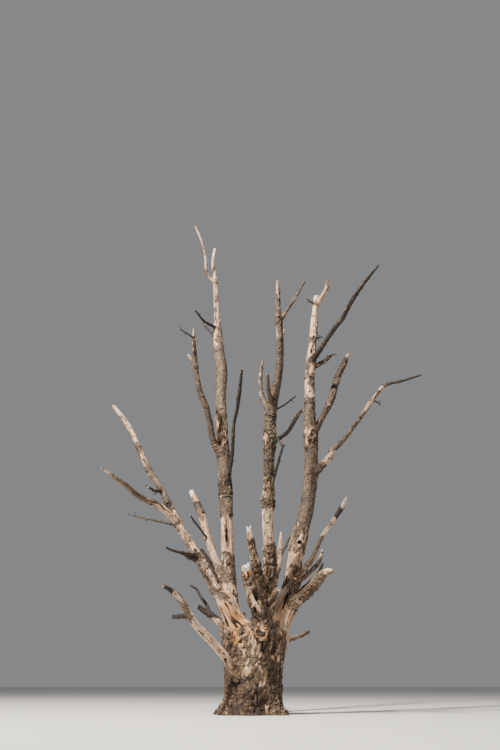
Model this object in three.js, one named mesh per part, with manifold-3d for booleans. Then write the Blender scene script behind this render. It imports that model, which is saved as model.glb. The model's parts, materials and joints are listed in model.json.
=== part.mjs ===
// A dead, many-stemmed tree, eight and a half metres tall: a short flared trunk, four
// stems that rise from it, and their broken boughs, stubs and last bare twigs.
// Millimetres and degrees, +Z up. The origin is the middle of the flat cut at ground level.

import * as THREE from "three";
import { mergeVertices } from "three/addons/utils/BufferGeometryUtils.js";
import Module from "manifold-3d";

const wasm = await Module();
wasm.setup();

// Driving sizes

const seam = 0.3; // clear space where one limb meets another
const trunkHeight = 1140; // from the cut to the middle of the fork
const trunkLean = 60; // how far the fork stands to the right of the cut
const trunkSides = 32;
const trunkRings = 16;
const rootHeight = 260; // height by which the root ridges have died away
const foldCount = 5; // shallow folds higher up the trunk
const foldDepth = 0.035; // in radii
const foldTwist = 40; // how far a fold turns on its way up
const collarSwell = 0.22; // how much a limb swells where it leaves its parent
const rimJag = 0.9; // how uneven a snapped end is, in radii
const rimSink = 0.4; // how far the middle of a snapped end is sunk, in radii
const shoulderThick = 160; // a limb this thick or more has a shoulder of the trunk round its foot
const shoulderTop = 1480; // height at which a shoulder ends
const shoulderSwell = 0.95; // how much wider than the limb a shoulder is at its root
const shoulderLip = 1.05; // how much wider than the limb it is at its end
const spikeClear = 30; // space that a snag or side twig keeps to the other limbs
const spikeSides = 6;
const spikeTip = 0.3; // radius of its tip, in thicknesses
const sideCount = 3; // side twigs on each twig
const sideReach = [55, 105]; // from the twig's middle line
const sideLean = 48; // from the twig's own direction
const sideTurn = 137.5; // round the twig from one side twig to the next
const sideThick = 0.5; // in the twig's own thicknesses
const rootFit = 0.75; // the widest that a limb's root is inside its parent, in the parent's radii
const arcSteps = 600; // steps by which the length along a limb is measured
const nearSteps = 24; // places along a limb at which its distance is measured

// Height and radius of the trunk, from the cut up to the middle of the fork
const trunkProfile = [
  [0, 500],
  [90, 428],
  [220, 374],
  [420, 342],
  [650, 346],
  [820, 374],
  [930, 392],
  [1020, 366],
  [1085, 280],
  [1125, 160],
  [trunkHeight, 0],
];

// The root flare is a sum of waves round the trunk: the ridges in each, the heading of its
// first ridge and how far it stands out, in radii
const rootWaves = [
  { count: 7, heading: 12, swell: 0.09 },
  { count: 4, heading: 63, swell: 0.06 },
  { count: 3, heading: 200, swell: 0.05 },
];

// Sides and ring spacing of each kind of limb
const kinds = {
  stem: { sides: 12, spacing: 240 },
  bough: { sides: 8, spacing: 145 },
  stub: { sides: 8, spacing: 105 },
  twig: { sides: 6, spacing: 110 },
  shoulder: { sides: 14, spacing: 170 },
};

// Colour and roughness of the wood and bark
const finishes = {
  bark: { color: 0x6f6256, roughness: 0.92 },
  mottled: { color: 0x95816a, roughness: 0.88 },
  bleached: { color: 0xc3ab8e, roughness: 0.8 },
  weathered: { color: 0x5a4d42, roughness: 0.95 },
  twig: { color: 0x4e443c, roughness: 0.9 },
};

// A limb grows out of its parent's middle line, at a share of the parent's length. It has a
// thickness there and goes on leg by leg. A leg is a run, a lean from upright, a heading and
// the thickness at its far end. Heading 0 is to the right, 90 to the back, 180 to the left
// and 270 to the front. Knuckles are rough swellings, each a share of the length and how
// much it adds to the thickness. Snags are short broken twigs and lumps, each a share of
// the length, a lean, a heading, its reach from the bark and its thickness.
const limb = (kind, name, finish, [parent, at], thick, legs, { knuckles = [], snags = [] } = {}) => ({
  kind,
  name,
  finish,
  parent,
  at,
  thick,
  legs: legs.map(([run, lean, heading, end]) => ({ run, lean, heading, end })),
  knuckles: knuckles.map(([share, gain]) => ({ share, gain })),
  snags: snags.map(([share, lean, heading, reach, wide]) => ({ share, lean, heading, reach, wide })),
});

const stems = [
  limb("stem", "left_stem", "bleached", ["trunk", 0.72], 170, [
    [700, 36, 187, 158], [280, 33, 151, 130], [730, 33, 155, 122], [450, 37, 151, 106],
    [330, 32, 151, 98], [460, 31, 146, 84], [430, 37, 153, 90], [400, 31, 148, 82],
    [620, 31, 148, 80], [550, 39, 155, 66],
  ], {
    snags: [[0.4, 60, 20, 22, 34], [0.42, 100, 215, 30, 26], [0.455, 95, 205, 48, 24],
      [0.67, 110, 215, 24, 52]],
  }),
  limb("stem", "tall_stem", "bark", ["trunk", 0.35], 240, [
    [1030, 19, 159, 232], [500, 15, 112, 198], [1270, 12, 104, 180], [910, 13, 109, 164],
    [1050, 12, 106, 160], [530, 10, 88, 190], [600, 13, 126, 174], [540, 11, 108, 106],
    [960, 9, 113, 76], [520, 13, 119, 62], [340, 11, 65, 60],
  ], {
    knuckles: [[0.355, 0.13], [0.43, 0.08]],
    snags: [[0.592, 50, 190, 70, 15], [0.52, 30, 0, 20, 30]],
  }),
  limb("stem", "middle_stem", "bark", ["trunk", 0.31], 230, [
    [1000, 14, 322, 226], [520, 9, 314, 178], [770, 13, 261, 146], [730, 18, 274, 138],
    [480, 17, 276, 150], [470, 20, 284, 144], [490, 22, 302, 100], [470, 14, 280, 100],
    [410, 15, 260, 76], [520, 19, 265, 40],
  ], {
    knuckles: [[0.435, 0.2], [0.59, 0.12]],
    snags: [[0.963, 50, 0, 36, 16], [0.97, 45, 180, 38, 15], [0.5, 70, 10, 18, 30]],
  }),
  limb("stem", "right_stem", "mottled", ["trunk", 0.39], 264, [
    [1070, 27, 7, 260], [520, 16, 36, 214], [540, 15, 42, 214], [550, 19, 34, 200],
    [740, 14, 55, 204], [740, 9, 85, 180], [770, 7, 76, 152], [860, 9, 52, 128],
    [1030, 9, 40, 98],
  ], {
    knuckles: [[0.31, 0.08], [0.59, 0.12]],
    snags: [[0.33, 60, 0, 36, 70], [0.668, 55, 350, 42, 56], [0.585, 60, 180, 15, 18],
      [0.555, 80, 185, 18, 18]],
  }),
];

const trunkLimbs = [
  limb("bough", "low_left_bough", "bleached", ["trunk", 0.12], 122, [
    [780, 45, 231, 114], [210, 45, 211, 106], [400, 51, 213, 96], [200, 45, 222, 86],
    [180, 44, 230, 70], [210, 51, 228, 66], [220, 71, 227, 36],
  ]),
  limb("stub", "low_left_stub", "weathered", ["low_left_bough", 0.72], 66, [
    [290, 91, 145, 44],
  ], { snags: [[0.85, 60, 180, 40, 20]] }),
  limb("stub", "mid_left_bough", "weathered", ["trunk", 0.55], 124, [
    [560, 45, 163, 120], [180, 37, 144, 98], [170, 47, 150, 86], [150, 59, 170, 74],
    [140, 57, 168, 56],
  ], { snags: [[0.93, 15, 150, 34, 26]] }),
  limb("stub", "mid_left_twig", "weathered", ["mid_left_bough", 0.83], 48, [
    [200, 38, 121, 42], [150, 47, 139, 38], [160, 40, 136, 34], [130, 58, 161, 22],
  ]),
  limb("stub", "short_stump", "bleached", ["trunk", 0.5], 184, [
    [760, 26, 286, 182], [240, 30, 228, 160], [210, 26, 229, 140], [180, 28, 240, 122],
    [110, 30, 246, 114],
  ]),
  limb("stub", "front_ring_stub", "mottled", ["trunk", 0.76], 150, [
    [480, 69, 281, 176],
  ]),
  limb("stub", "base_stub", "weathered", ["trunk", 0.8], 62, [
    [330, 44, 149, 60], [210, 23, 64, 44],
  ]),
  limb("bough", "low_right_bough", "mottled", ["trunk", 0.39], 80, [
    [690, 50, 39, 78], [110, 49, 48, 70], [170, 73, 43, 56], [210, 76, 44, 52], [170, 68, 38, 36],
  ]),
  limb("stub", "low_right_stub", "bleached", ["trunk", 0.68], 82, [
    [460, 63, 21, 80], [190, 60, 45, 58],
  ]),
];

const leftLimbs = [
  limb("bough", "left_main_bough", "mottled", ["left_stem", 0.46], 100, [
    [270, 52, 212, 90], [240, 70, 228, 92], [310, 80, 224, 76], [300, 67, 232, 70],
    [250, 72, 231, 50], [270, 70, 233, 20],
  ], { snags: [[0.8, 130, 240, 22, 20], [0.88, 125, 230, 18, 14]] }),
  limb("twig", "left_thin_twig", "twig", ["left_stem", 0.45], 38, [
    [500, 74, 148, 32], [360, 75, 141, 28], [330, 72, 139, 16],
  ]),
  limb("stub", "left_knob_twig", "weathered", ["left_stem", 0.32], 90, [
    [200, 86, 225, 84], [90, 78, 222, 50], [200, 85, 225, 34], [210, 84, 239, 20],
  ]),
  limb("twig", "left_upper_spur", "twig", ["left_stem", 0.59], 48, [
    [210, 96, 233, 42], [140, 82, 241, 24],
  ]),
  limb("stub", "dark_left_limb", "weathered", ["left_stem", 0.2], 114, [
    [710, 56, 101, 102], [690, 57, 111, 66],
  ]),
];

const tallLimbs = [
  limb("stub", "pale_stub", "bleached", ["tall_stem", 0.15], 112, [
    [680, 30, 134, 110], [380, 28, 133, 110], [330, 25, 130, 114], [270, 28, 133, 106],
    [320, 31, 144, 76],
  ], { snags: [[0.52, 80, 200, 20, 40]] }),
  limb("twig", "pale_stub_twig", "twig", ["pale_stub", 0.51], 30, [
    [280, 52, 228, 25], [280, 55, 234, 16],
  ]),
  limb("bough", "tall_left_bough", "mottled", ["tall_stem", 0.43], 108, [
    [310, 37, 210, 92], [370, 26, 244, 86], [260, 27, 235, 92], [250, 30, 221, 86],
    [390, 21, 239, 80], [340, 15, 251, 62], [340, 17, 262, 22],
  ], { snags: [[0.33, 70, 0, 14, 24], [0.86, 60, 180, 18, 14]] }),
  limb("twig", "tall_left_bough_twig", "twig", ["tall_left_bough", 0.93], 24, [
    [360, 86, 233, 14],
  ]),
  limb("stub", "tall_left_bough_stub", "bleached", ["tall_left_bough", 0.71], 54, [
    [340, 34, 138, 38],
  ]),
  limb("bough", "tall_right_bough", "weathered", ["tall_stem", 0.36], 60, [
    [520, 27, 295, 54], [310, 29, 277, 52], [280, 31, 279, 44], [230, 28, 297, 48],
    [270, 33, 284, 52], [370, 34, 282, 34],
  ], { snags: [[0.72, 50, 0, 16, 24]] }),
  limb("twig", "tall_upper_twig", "twig", ["tall_stem", 0.76], 46, [
    [370, 85, 228, 38], [260, 61, 230, 22],
  ]),
  limb("twig", "tall_lower_twig", "twig", ["tall_stem", 0.73], 38, [
    [700, 44, 130, 26],
  ]),
  limb("bough", "tall_top_fork", "bleached", ["tall_stem", 0.89], 58, [
    [270, 48, 213, 48], [310, 16, 252, 44], [310, 27, 239, 38], [330, 27, 214, 28],
  ], { snags: [[0.59, 85, 185, 62, 12]] }),
];

const middleLimbs = [
  limb("stub", "middle_stump", "mottled", ["middle_stem", 0.15], 150, [
    [660, 22, 244, 134], [300, 22, 241, 102], [220, 26, 244, 80], [160, 23, 248, 70],
  ], { snags: [[0.83, 80, 200, 16, 40], [0.85, 70, 330, 14, 36]] }),
  limb("stub", "middle_side_stub", "bleached", ["middle_stem", 0.21], 86, [
    [530, 33, 58, 74], [460, 32, 78, 62], [200, 29, 80, 22],
  ]),
  limb("twig", "middle_side_twig", "twig", ["middle_side_stub", 0.56], 30, [
    [550, 44, 60, 18],
  ]),
  limb("bough", "middle_dark_shoot", "weathered", ["middle_stem", 0.44], 42, [
    [320, 42, 290, 40], [270, 44, 289, 36], [210, 39, 294, 32], [130, 51, 289, 24],
  ]),
  limb("bough", "middle_right_bough", "weathered", ["middle_stem", 0.58], 56, [
    [270, 80, 312, 50], [150, 75, 305, 52], [150, 63, 297, 52], [210, 64, 295, 48],
    [130, 83, 292, 28],
  ]),
  limb("twig", "middle_strip", "twig", ["middle_stem", 0.63], 32, [
    [280, 150, 312, 26], [200, 151, 311, 14],
  ]),
  limb("bough", "middle_hook", "mottled", ["middle_stem", 0.65], 78, [
    [370, 31, 126, 66], [300, 24, 109, 60], [220, 17, 84, 56], [250, 10, 51, 48],
  ]),
  limb("stub", "middle_inner_stub", "mottled", ["middle_stem", 0.68], 66, [
    [230, 53, 251, 56], [250, 29, 261, 40],
  ]),
  limb("twig", "middle_thin_twig", "twig", ["middle_stem", 0.66], 30, [
    [410, 57, 51, 26], [380, 53, 53, 18],
  ]),
  limb("stub", "middle_upper_stub", "bleached", ["middle_stem", 0.83], 48, [
    [420, 29, 71, 34],
  ], { snags: [[0.9, 40, 0, 55, 12]] }),
  limb("bough", "middle_top_fork", "mottled", ["middle_stem", 0.89], 54, [
    [340, 35, 54, 46], [470, 38, 55, 44], [480, 32, 47, 26],
  ]),
  limb("stub", "front_stub", "mottled", ["middle_stem", 0.15], 76, [
    [420, 52, 305, 68], [250, 50, 311, 62], [170, 54, 314, 42],
  ]),
  limb("stub", "front_knob", "mottled", ["middle_stem", 0.18], 72, [
    [420, 57, 295, 58],
  ]),
];

const rightLimbs = [
  limb("stub", "right_thick_bough", "mottled", ["right_stem", 0.15], 124, [
    [450, 57, 328, 118], [320, 58, 307, 106], [170, 65, 309, 88], [100, 91, 315, 52],
  ]),
  limb("bough", "right_dark_shoot", "weathered", ["right_stem", 0.17], 60, [
    [640, 60, 51, 56], [310, 60, 54, 52], [260, 42, 57, 36],
  ], { snags: [[0.88, 30, 0, 50, 18]] }),
  limb("bough", "right_low_shoot", "mottled", ["right_stem", 0.2], 64, [
    [630, 59, 49, 56], [250, 55, 53, 50], [300, 44, 66, 34],
  ]),
  limb("bough", "right_low_bough", "mottled", ["right_stem", 0.22], 90, [
    [390, 58, 317, 70], [250, 45, 305, 56], [200, 43, 300, 52], [400, 48, 313, 54],
    [140, 46, 315, 64], [180, 41, 307, 28],
  ], { snags: [[0.8, 90, 330, 16, 26]] }),
  limb("bough", "right_wide_bough", "mottled", ["right_stem", 0.47], 108, [
    [400, 50, 330, 90], [210, 45, 320, 82], [220, 57, 319, 66], [650, 46, 322, 58],
    [300, 47, 318, 50], [140, 59, 325, 46], [280, 88, 329, 36], [300, 83, 331, 22],
  ], {
    snags: [[0.17, 105, 340, 34, 44], [0.475, 115, 345, 34, 14], [0.715, 75, 332, 95, 26],
      [0.768, 15, 120, 42, 16]],
  }),
  limb("twig", "right_wide_twig", "twig", ["right_wide_bough", 0.64], 26, [
    [270, 87, 52, 14],
  ]),
  limb("bough", "right_second_bough", "mottled", ["right_stem", 0.57], 100, [
    [470, 31, 34, 92], [570, 35, 48, 88], [330, 30, 59, 92], [310, 29, 53, 88],
    [390, 36, 52, 82], [390, 36, 52, 58],
  ], { snags: [[0.76, 80, 340, 16, 26]] }),
  limb("stub", "right_short_stub", "weathered", ["right_stem", 0.77], 70, [
    [530, 55, 49, 66], [270, 52, 52, 56], [240, 58, 50, 36],
  ]),
  limb("bough", "right_long_bough", "weathered", ["right_stem", 0.79], 88, [
    [430, 58, 306, 74], [420, 61, 303, 66], [160, 61, 311, 74], [160, 65, 290, 62],
    [360, 67, 292, 64], [340, 60, 305, 52], [290, 63, 310, 24],
  ], { snags: [[0.66, 80, 350, 22, 16]] }),
  limb("twig", "right_upper_twig", "twig", ["right_stem", 0.86], 28, [
    [400, 60, 52, 16],
  ]),
  limb("stub", "right_top_fork", "bleached", ["right_stem", 0.97], 84, [
    [220, 53, 312, 70], [170, 43, 310, 70], [130, 29, 294, 58],
  ]),
  limb("twig", "right_top_spur", "twig", ["right_stem", 0.97], 28, [
    [240, 72, 216, 14],
  ]),
];

const limbs = [...stems, ...trunkLimbs, ...leftLimbs, ...tallLimbs, ...middleLimbs, ...rightLimbs];

// Middle lines

// The direction of a lean and a heading
function direction(lean, heading) {
  const polar = THREE.MathUtils.degToRad(lean);
  const turn = THREE.MathUtils.degToRad(heading);
  const flat = Math.sin(polar);
  return new THREE.Vector3(flat * Math.cos(turn), flat * Math.sin(turn), Math.cos(polar));
}

// A smooth line through points, whose length is measured finely
function smoothLine(points) {
  const line = new THREE.CatmullRomCurve3(points, false, "centripetal");
  line.arcLengthDivisions = arcSteps;
  return line;
}

// The middle line of a limb: out of its parent's middle line, and on leg by leg
function middleLine(item) {
  const points = [lines[item.parent].getPointAt(item.at)];
  for (const { run, lean, heading } of item.legs) {
    points.push(direction(lean, heading).multiplyScalar(run).add(points.at(-1)));
  }
  return smoothLine(points);
}

const lines = {
  trunk: smoothLine([
    new THREE.Vector3(0, 0, 0),
    new THREE.Vector3(trunkLean / 3, 0, trunkHeight / 2),
    new THREE.Vector3(trunkLean, 0, trunkHeight),
  ]),
};
for (const item of limbs) {
  lines[item.name] = middleLine(item);
}

// The radius of a limb at a share of its length, with its collar and its knuckles
function radiusAt(item, share) {
  const total = item.legs.reduce((sum, { run }) => sum + run, 0);
  let walked = share * total;
  let before = item.thick;
  let thick = item.legs.at(-1).end;
  for (const { run, end } of item.legs) {
    if (walked <= run) {
      thick = THREE.MathUtils.lerp(before, end, walked / run);
      break;
    }
    walked -= run;
    before = end;
  }
  const fromParent = (share * total) / (2 * item.thick);
  let swell = 1 + collarSwell * Math.exp(-(fromParent ** 2));
  for (const knuckle of item.knuckles) {
    const away = ((share - knuckle.share) * total) / item.thick;
    swell += knuckle.gain * Math.exp(-(away ** 2));
  }
  return (thick / 2) * swell;
}

// Solids

// A generator of numbers from 0 to 1 that gives the same row for the same seed
function seeded(seed) {
  let state = seed;
  return () => {
    state = (state + 0x6d2b79f5) | 0;
    let mixed = Math.imul(state ^ (state >>> 15), 1 | state);
    mixed = (mixed + Math.imul(mixed ^ (mixed >>> 7), 61 | mixed)) ^ mixed;
    return ((mixed ^ (mixed >>> 14)) >>> 0) / 2 ** 32;
  };
}

// A solid for joining and cutting, from a closed geometry
function solidOf(geometry) {
  const bare = geometry.toNonIndexed();
  bare.deleteAttribute("normal");
  bare.deleteAttribute("uv");
  const merged = mergeVertices(bare, 1e-3);
  const index = merged.index.array;
  const faces = [];
  for (let i = 0; i < index.length; i += 3) {
    const [a, b, c] = index.slice(i, i + 3);
    if (a !== b && b !== c && c !== a) {
      faces.push(a, b, c);
    }
  }
  const vertProperties = new Float32Array(merged.attributes.position.array);
  const triVerts = new Uint32Array(faces);
  return new wasm.Manifold(new wasm.Mesh({ numProp: 3, vertProperties, triVerts }));
}

// A closed tube along a line, with a radius that changes with the share of the length. It is
// grown by more than nothing where it is the sleeve that later limbs are cut with. The rim
// of its far end stands out by its jags and the middle by its sink, both in radii.
function tubeSolid(line, { sides, spacing }, radiusOf, { jags, sink }, grown) {
  const rings = Math.max(3, Math.round(line.getLength() / spacing));
  const tube = new THREE.CylinderGeometry(1, 1, 1, sides, rings);
  const frames = line.computeFrenetFrames(rings, false);
  const place = tube.attributes.position;
  for (let i = 0; i < place.count; i += 1) {
    const across = new THREE.Vector2(place.getX(i), place.getZ(i));
    const ring = Math.round((place.getY(i) + 0.5) * rings);
    const side = Math.round((across.angle() / (2 * Math.PI)) * sides) % sides;
    const radius = radiusOf(ring / rings) + grown;
    const jag = across.length() > 0.5 ? jags[side] : -sink;
    const along = ring === rings ? grown + jag * radius : 0;
    const point = line.getPointAt(ring / rings);
    point.addScaledVector(frames.tangents[ring], along);
    point.addScaledVector(frames.normals[ring], across.x * radius);
    point.addScaledVector(frames.binormals[ring], -across.y * radius);
    place.setXYZ(i, point.x, point.y, point.z);
  }
  return solidOf(tube);
}

// A limb, whole from its parent's middle line to its snapped end
function limbSolid(item, order, grown = 0) {
  const kind = kinds[item.kind];
  const chance = seeded(order);
  const jags = Array.from({ length: kind.sides }, () => (chance() - 0.5) * rimJag);
  const parent = limbs.find(({ name }) => name === item.parent);
  const widest = parent ? rootFit * radiusAt(parent, item.at) : Infinity;
  const radiusOf = (share) => (share > 0 ? radiusAt(item, share) : Math.min(item.thick / 2, widest));
  return tubeSolid(lines[item.name], kind, radiusOf, { jags, sink: rimSink }, grown);
}

// The shoulder of the trunk round the foot of a thick limb
function shoulderSolid(item, grown) {
  const line = lines[item.name];
  let end = 0;
  while (line.getPointAt(end).z < shoulderTop) {
    end += 1 / arcSteps;
  }
  const part = smoothLine([0, 0.25, 0.5, 0.75, 1].map((share) => line.getPointAt(share * end)));
  const radiusOf = (share) =>
    radiusAt(item, share * end) * (shoulderLip + shoulderSwell * (1 - share) ** 2);
  const jags = new Array(kinds.shoulder.sides).fill(0);
  return tubeSolid(part, kinds.shoulder, radiusOf, { jags, sink: 0 }, grown);
}

// How far the trunk's surface stands out at a heading and height, in radii
function trunkSwell(heading, height) {
  const low = Math.exp(-((height / rootHeight) ** 2));
  const roots = rootWaves.reduce(
    (sum, wave) =>
      sum + wave.swell * Math.cos(wave.count * THREE.MathUtils.degToRad(heading - wave.heading)),
    0,
  );
  const turned = heading + (foldTwist * height) / trunkHeight;
  const folds = Math.cos(foldCount * THREE.MathUtils.degToRad(turned));
  return 1 + low * roots + foldDepth * (1 - low) * folds;
}

// The trunk: a turned profile with its root ridges, folds and lean, and its shoulders
function trunkSolid(grown = 0) {
  const outline = new THREE.SplineCurve(
    trunkProfile.map(([height, radius]) => new THREE.Vector2(radius, height)),
  );
  const profile = [
    new THREE.Vector2(0, 0),
    ...outline.getPoints(trunkRings).map(({ x, y }) => new THREE.Vector2(x + grown, y)),
  ];
  profile.at(-1).set(0, trunkHeight + grown);
  const turned = new THREE.LatheGeometry(profile, trunkSides);
  const place = turned.attributes.position;
  for (let i = 0; i < place.count; i += 1) {
    const height = place.getY(i);
    const flat = new THREE.Vector2(place.getX(i), -place.getZ(i));
    const swell = trunkSwell(THREE.MathUtils.radToDeg(flat.angle()), height);
    const middle = lines.trunk.getPointAt(Math.min(height / trunkHeight, 1));
    place.setXYZ(i, middle.x + flat.x * swell, flat.y * swell, height);
  }
  const thickOnes = limbs.filter((item) => item.parent === "trunk" && item.thick >= shoulderThick);
  return thickOnes.reduce(
    (solid, item) => solid.add(shoulderSolid(item, grown)),
    solidOf(turned),
  );
}

// The nearest that a point comes to the surface of any other limb
function clearOf(point, name) {
  let nearest = Infinity;
  for (const other of limbs.filter((item) => item.name !== name)) {
    for (let i = 0; i <= nearSteps; i += 1) {
      const share = i / nearSteps;
      const away = lines[other.name].getPointAt(share).distanceTo(point);
      nearest = Math.min(nearest, away - radiusAt(other, share));
    }
  }
  return nearest;
}

// A blunt spike from a root along a way
function spikeSolid(root, way, length, wide) {
  const spike = new THREE.CylinderGeometry(wide * spikeTip, wide / 2, length, spikeSides, 1);
  spike.translate(0, length / 2, 0);
  spike.applyQuaternion(new THREE.Quaternion().setFromUnitVectors(new THREE.Vector3(0, 1, 0), way));
  spike.translate(root.x, root.y, root.z);
  return solidOf(spike);
}

// The snags of a limb, rooted on its middle line
function snagsOf(item) {
  return item.snags.map(({ share, lean, heading, reach, wide }) => ({
    root: lines[item.name].getPointAt(share),
    way: direction(lean, heading),
    length: radiusAt(item, share) + reach,
    wide,
  }));
}

// The side twigs of a twig, by a seeded rule: each leaves it further on and turned further
// round it than the one before
function sideTwigsOf(item, order) {
  const chance = seeded(order);
  const line = lines[item.name];
  const lean = THREE.MathUtils.degToRad(sideLean);
  let turn = 2 * Math.PI * chance();
  const twigs = [];
  for (let i = 1; i <= sideCount; i += 1) {
    const share = (i + chance() / 2) / (sideCount + 1);
    const ahead = line.getTangentAt(share);
    const across = new THREE.Vector3(0, 0, 1).cross(ahead).normalize().applyAxisAngle(ahead, turn);
    const way = ahead.multiplyScalar(Math.cos(lean)).addScaledVector(across, Math.sin(lean));
    const length = THREE.MathUtils.lerp(...sideReach, chance());
    const wide = 2 * radiusAt(item, share) * sideThick;
    twigs.push({ root: line.getPointAt(share), way, length, wide });
    turn += THREE.MathUtils.degToRad(sideTurn);
  }
  return twigs;
}

// What grows from a limb. Anything that would come near another limb is left off.
function spikesOf(item, order) {
  const spikes = item.kind === "twig" ? sideTwigsOf(item, order) : snagsOf(item);
  return spikes
    .filter(({ root, way, length }) => {
      const tip = root.clone().addScaledVector(way, length);
      return clearOf(tip, item.name) > spikeClear;
    })
    .map(({ root, way, length, wide }) => spikeSolid(root, way, length, wide));
}

// Assembly

// A named mesh from a solid, in its finish
function meshOf(name, solid, finish) {
  const { vertProperties, triVerts } = solid.getMesh();
  const geometry = new THREE.BufferGeometry();
  geometry.setAttribute("position", new THREE.BufferAttribute(vertProperties, 3));
  geometry.setIndex(new THREE.BufferAttribute(triVerts, 1));
  geometry.computeVertexNormals();
  const material = new THREE.MeshStandardMaterial({ metalness: 0, ...finishes[finish] });
  const mesh = new THREE.Mesh(geometry, material);
  mesh.name = name;
  return mesh;
}

// Whether the boxes round two solids meet
function boxesMeet(one, other) {
  const a = one.boundingBox();
  const b = other.boundingBox();
  return [0, 1, 2].every((k) => a.min[k] <= b.max[k] && b.min[k] <= a.max[k]);
}

// The biggest body of a solid. A limb that passes close to another can lose a sliver to the
// cut, and the sliver is left out.
function biggestOf(solid) {
  const bodies = solid.decompose();
  return bodies.reduce((best, body) => (body.volume() > best.volume() ? body : best));
}

const tree = new THREE.Group();
tree.add(meshOf("trunk", trunkSolid(), "mottled"));
const sleeves = [trunkSolid(seam)];
for (const [order, item] of limbs.entries()) {
  let solid = limbSolid(item, order);
  for (const sleeve of sleeves) {
    if (boxesMeet(solid, sleeve)) {
      solid = solid.subtract(sleeve);
    }
  }
  for (const spike of spikesOf(item, order)) {
    solid = solid.add(spike);
  }
  solid = biggestOf(solid);
  tree.add(meshOf(item.name, solid, item.finish));
  sleeves.push(limbSolid(item, order, seam));
}

export default tree;
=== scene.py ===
"""A dead, many-stemmed tree in worn bark, bare bleached wood and torn ends.

The growth tables are in millimetres and degrees, as in the tree's solids. Everything that
is built from them is in metres, +Z up, with the origin under the trunk at ground level.
"""

from __future__ import annotations

import dataclasses
import json
import logging
import math
from dataclasses import dataclass, field
from enum import Enum
from types import SimpleNamespace

import bpy
import numpy as np
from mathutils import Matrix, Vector

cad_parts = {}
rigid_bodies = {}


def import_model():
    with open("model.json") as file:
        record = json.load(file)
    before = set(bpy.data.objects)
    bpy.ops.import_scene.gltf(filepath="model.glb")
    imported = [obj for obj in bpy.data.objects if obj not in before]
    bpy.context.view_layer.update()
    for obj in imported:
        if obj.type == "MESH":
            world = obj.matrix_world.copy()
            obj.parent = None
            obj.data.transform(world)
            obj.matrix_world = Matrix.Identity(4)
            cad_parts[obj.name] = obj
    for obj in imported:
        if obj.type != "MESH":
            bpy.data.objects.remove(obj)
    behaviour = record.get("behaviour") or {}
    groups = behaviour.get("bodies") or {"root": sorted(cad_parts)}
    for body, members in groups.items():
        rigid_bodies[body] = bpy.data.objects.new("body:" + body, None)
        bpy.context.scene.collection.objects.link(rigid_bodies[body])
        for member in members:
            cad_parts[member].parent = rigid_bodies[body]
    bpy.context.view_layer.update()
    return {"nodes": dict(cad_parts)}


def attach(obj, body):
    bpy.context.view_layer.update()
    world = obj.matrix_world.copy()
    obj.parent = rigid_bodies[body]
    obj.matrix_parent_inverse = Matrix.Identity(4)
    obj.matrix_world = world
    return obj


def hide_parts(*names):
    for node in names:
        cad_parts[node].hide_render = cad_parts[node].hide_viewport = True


Array = np.ndarray
Rgb = tuple[float, float, float]
Pair = tuple[float, float]
Point = tuple[float, float, float]
Stretch = tuple[float, float, float]
Stops = tuple[tuple[float, str], ...]
Grids = dict[str, Array]
Rows = tuple[list[Array], list[Array]]
Material = bpy.types.Material

log = logging.getLogger("dead_tree")

MM = 0.001
TRUNK_HEIGHT = 1.14
TRUNK_LEAN = 0.06
SHOULDER_TOP = 1.48
SHOULDER_THICK = 160
GOLDEN_TURN = math.radians(137.5)
FAR = 9.0


class Kind(Enum):
    """The kinds of limb."""

    STEM = "stem"
    BOUGH = "bough"
    STUB = "stub"
    TWIG = "twig"


class Finish(Enum):
    """The finishes, each named by its material slot."""

    BARK = "bark"
    MOTTLED = "mottled"
    BLEACHED = "bleached"
    WEATHERED = "weathered"
    TWIG = "twig"


class Look(Enum):
    """How a stretch of a limb has weathered."""

    BARK = "smooth ringed bark"
    ROUGH = "scabby bark"
    WORN = "worn tan bark"
    EARTHY = "worn brown bark"
    MOTTLED = "bark in patches"
    BARE = "bare wood"
    PALE = "bleached wood"
    WHITE = "freshly broken wood"
    TORN = "torn wood"
    DARK = "dark old bark"


Looks = tuple[tuple[float, Look], ...]


@dataclass(frozen=True)
class Weather:
    """What a look stands for, each number from 0 to about 1."""

    cover: float
    rough: float
    pale: float
    dark: float
    torn: float


WEATHER = {
    Look.BARK: Weather(1.0, 0.12, 0.0, 0.0, 0.0),
    Look.ROUGH: Weather(0.82, 1.0, 0.12, 0.1, 0.15),
    Look.WORN: Weather(0.67, 0.75, 0.42, 0.0, 0.35),
    Look.EARTHY: Weather(0.7, 0.85, 0.2, 0.15, 0.35),
    Look.MOTTLED: Weather(0.52, 0.4, 0.15, 0.0, 0.15),
    Look.BARE: Weather(0.24, 0.2, 0.2, 0.0, 0.3),
    Look.PALE: Weather(0.18, 0.1, 0.5, 0.0, 0.15),
    Look.WHITE: Weather(-0.2, 0.05, 1.3, 0.0, 0.0),
    Look.TORN: Weather(0.24, 0.8, 0.15, 0.0, 0.9),
    Look.DARK: Weather(0.92, 0.4, 0.0, 1.0, 0.0),
}


@dataclass(frozen=True)
class Fineness:
    """How finely a kind of limb is meshed, and what grows on it by the seeded rule."""

    sides: int
    spacing: float
    spurs: float
    knots: float


FINENESS = {
    Kind.STEM: Fineness(88, 0.0098, 2.2, 2.6),
    Kind.BOUGH: Fineness(48, 0.0085, 5.0, 3.0),
    Kind.STUB: Fineness(44, 0.0085, 2.5, 2.0),
    Kind.TWIG: Fineness(16, 0.011, 0.0, 0.0),
}


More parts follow.
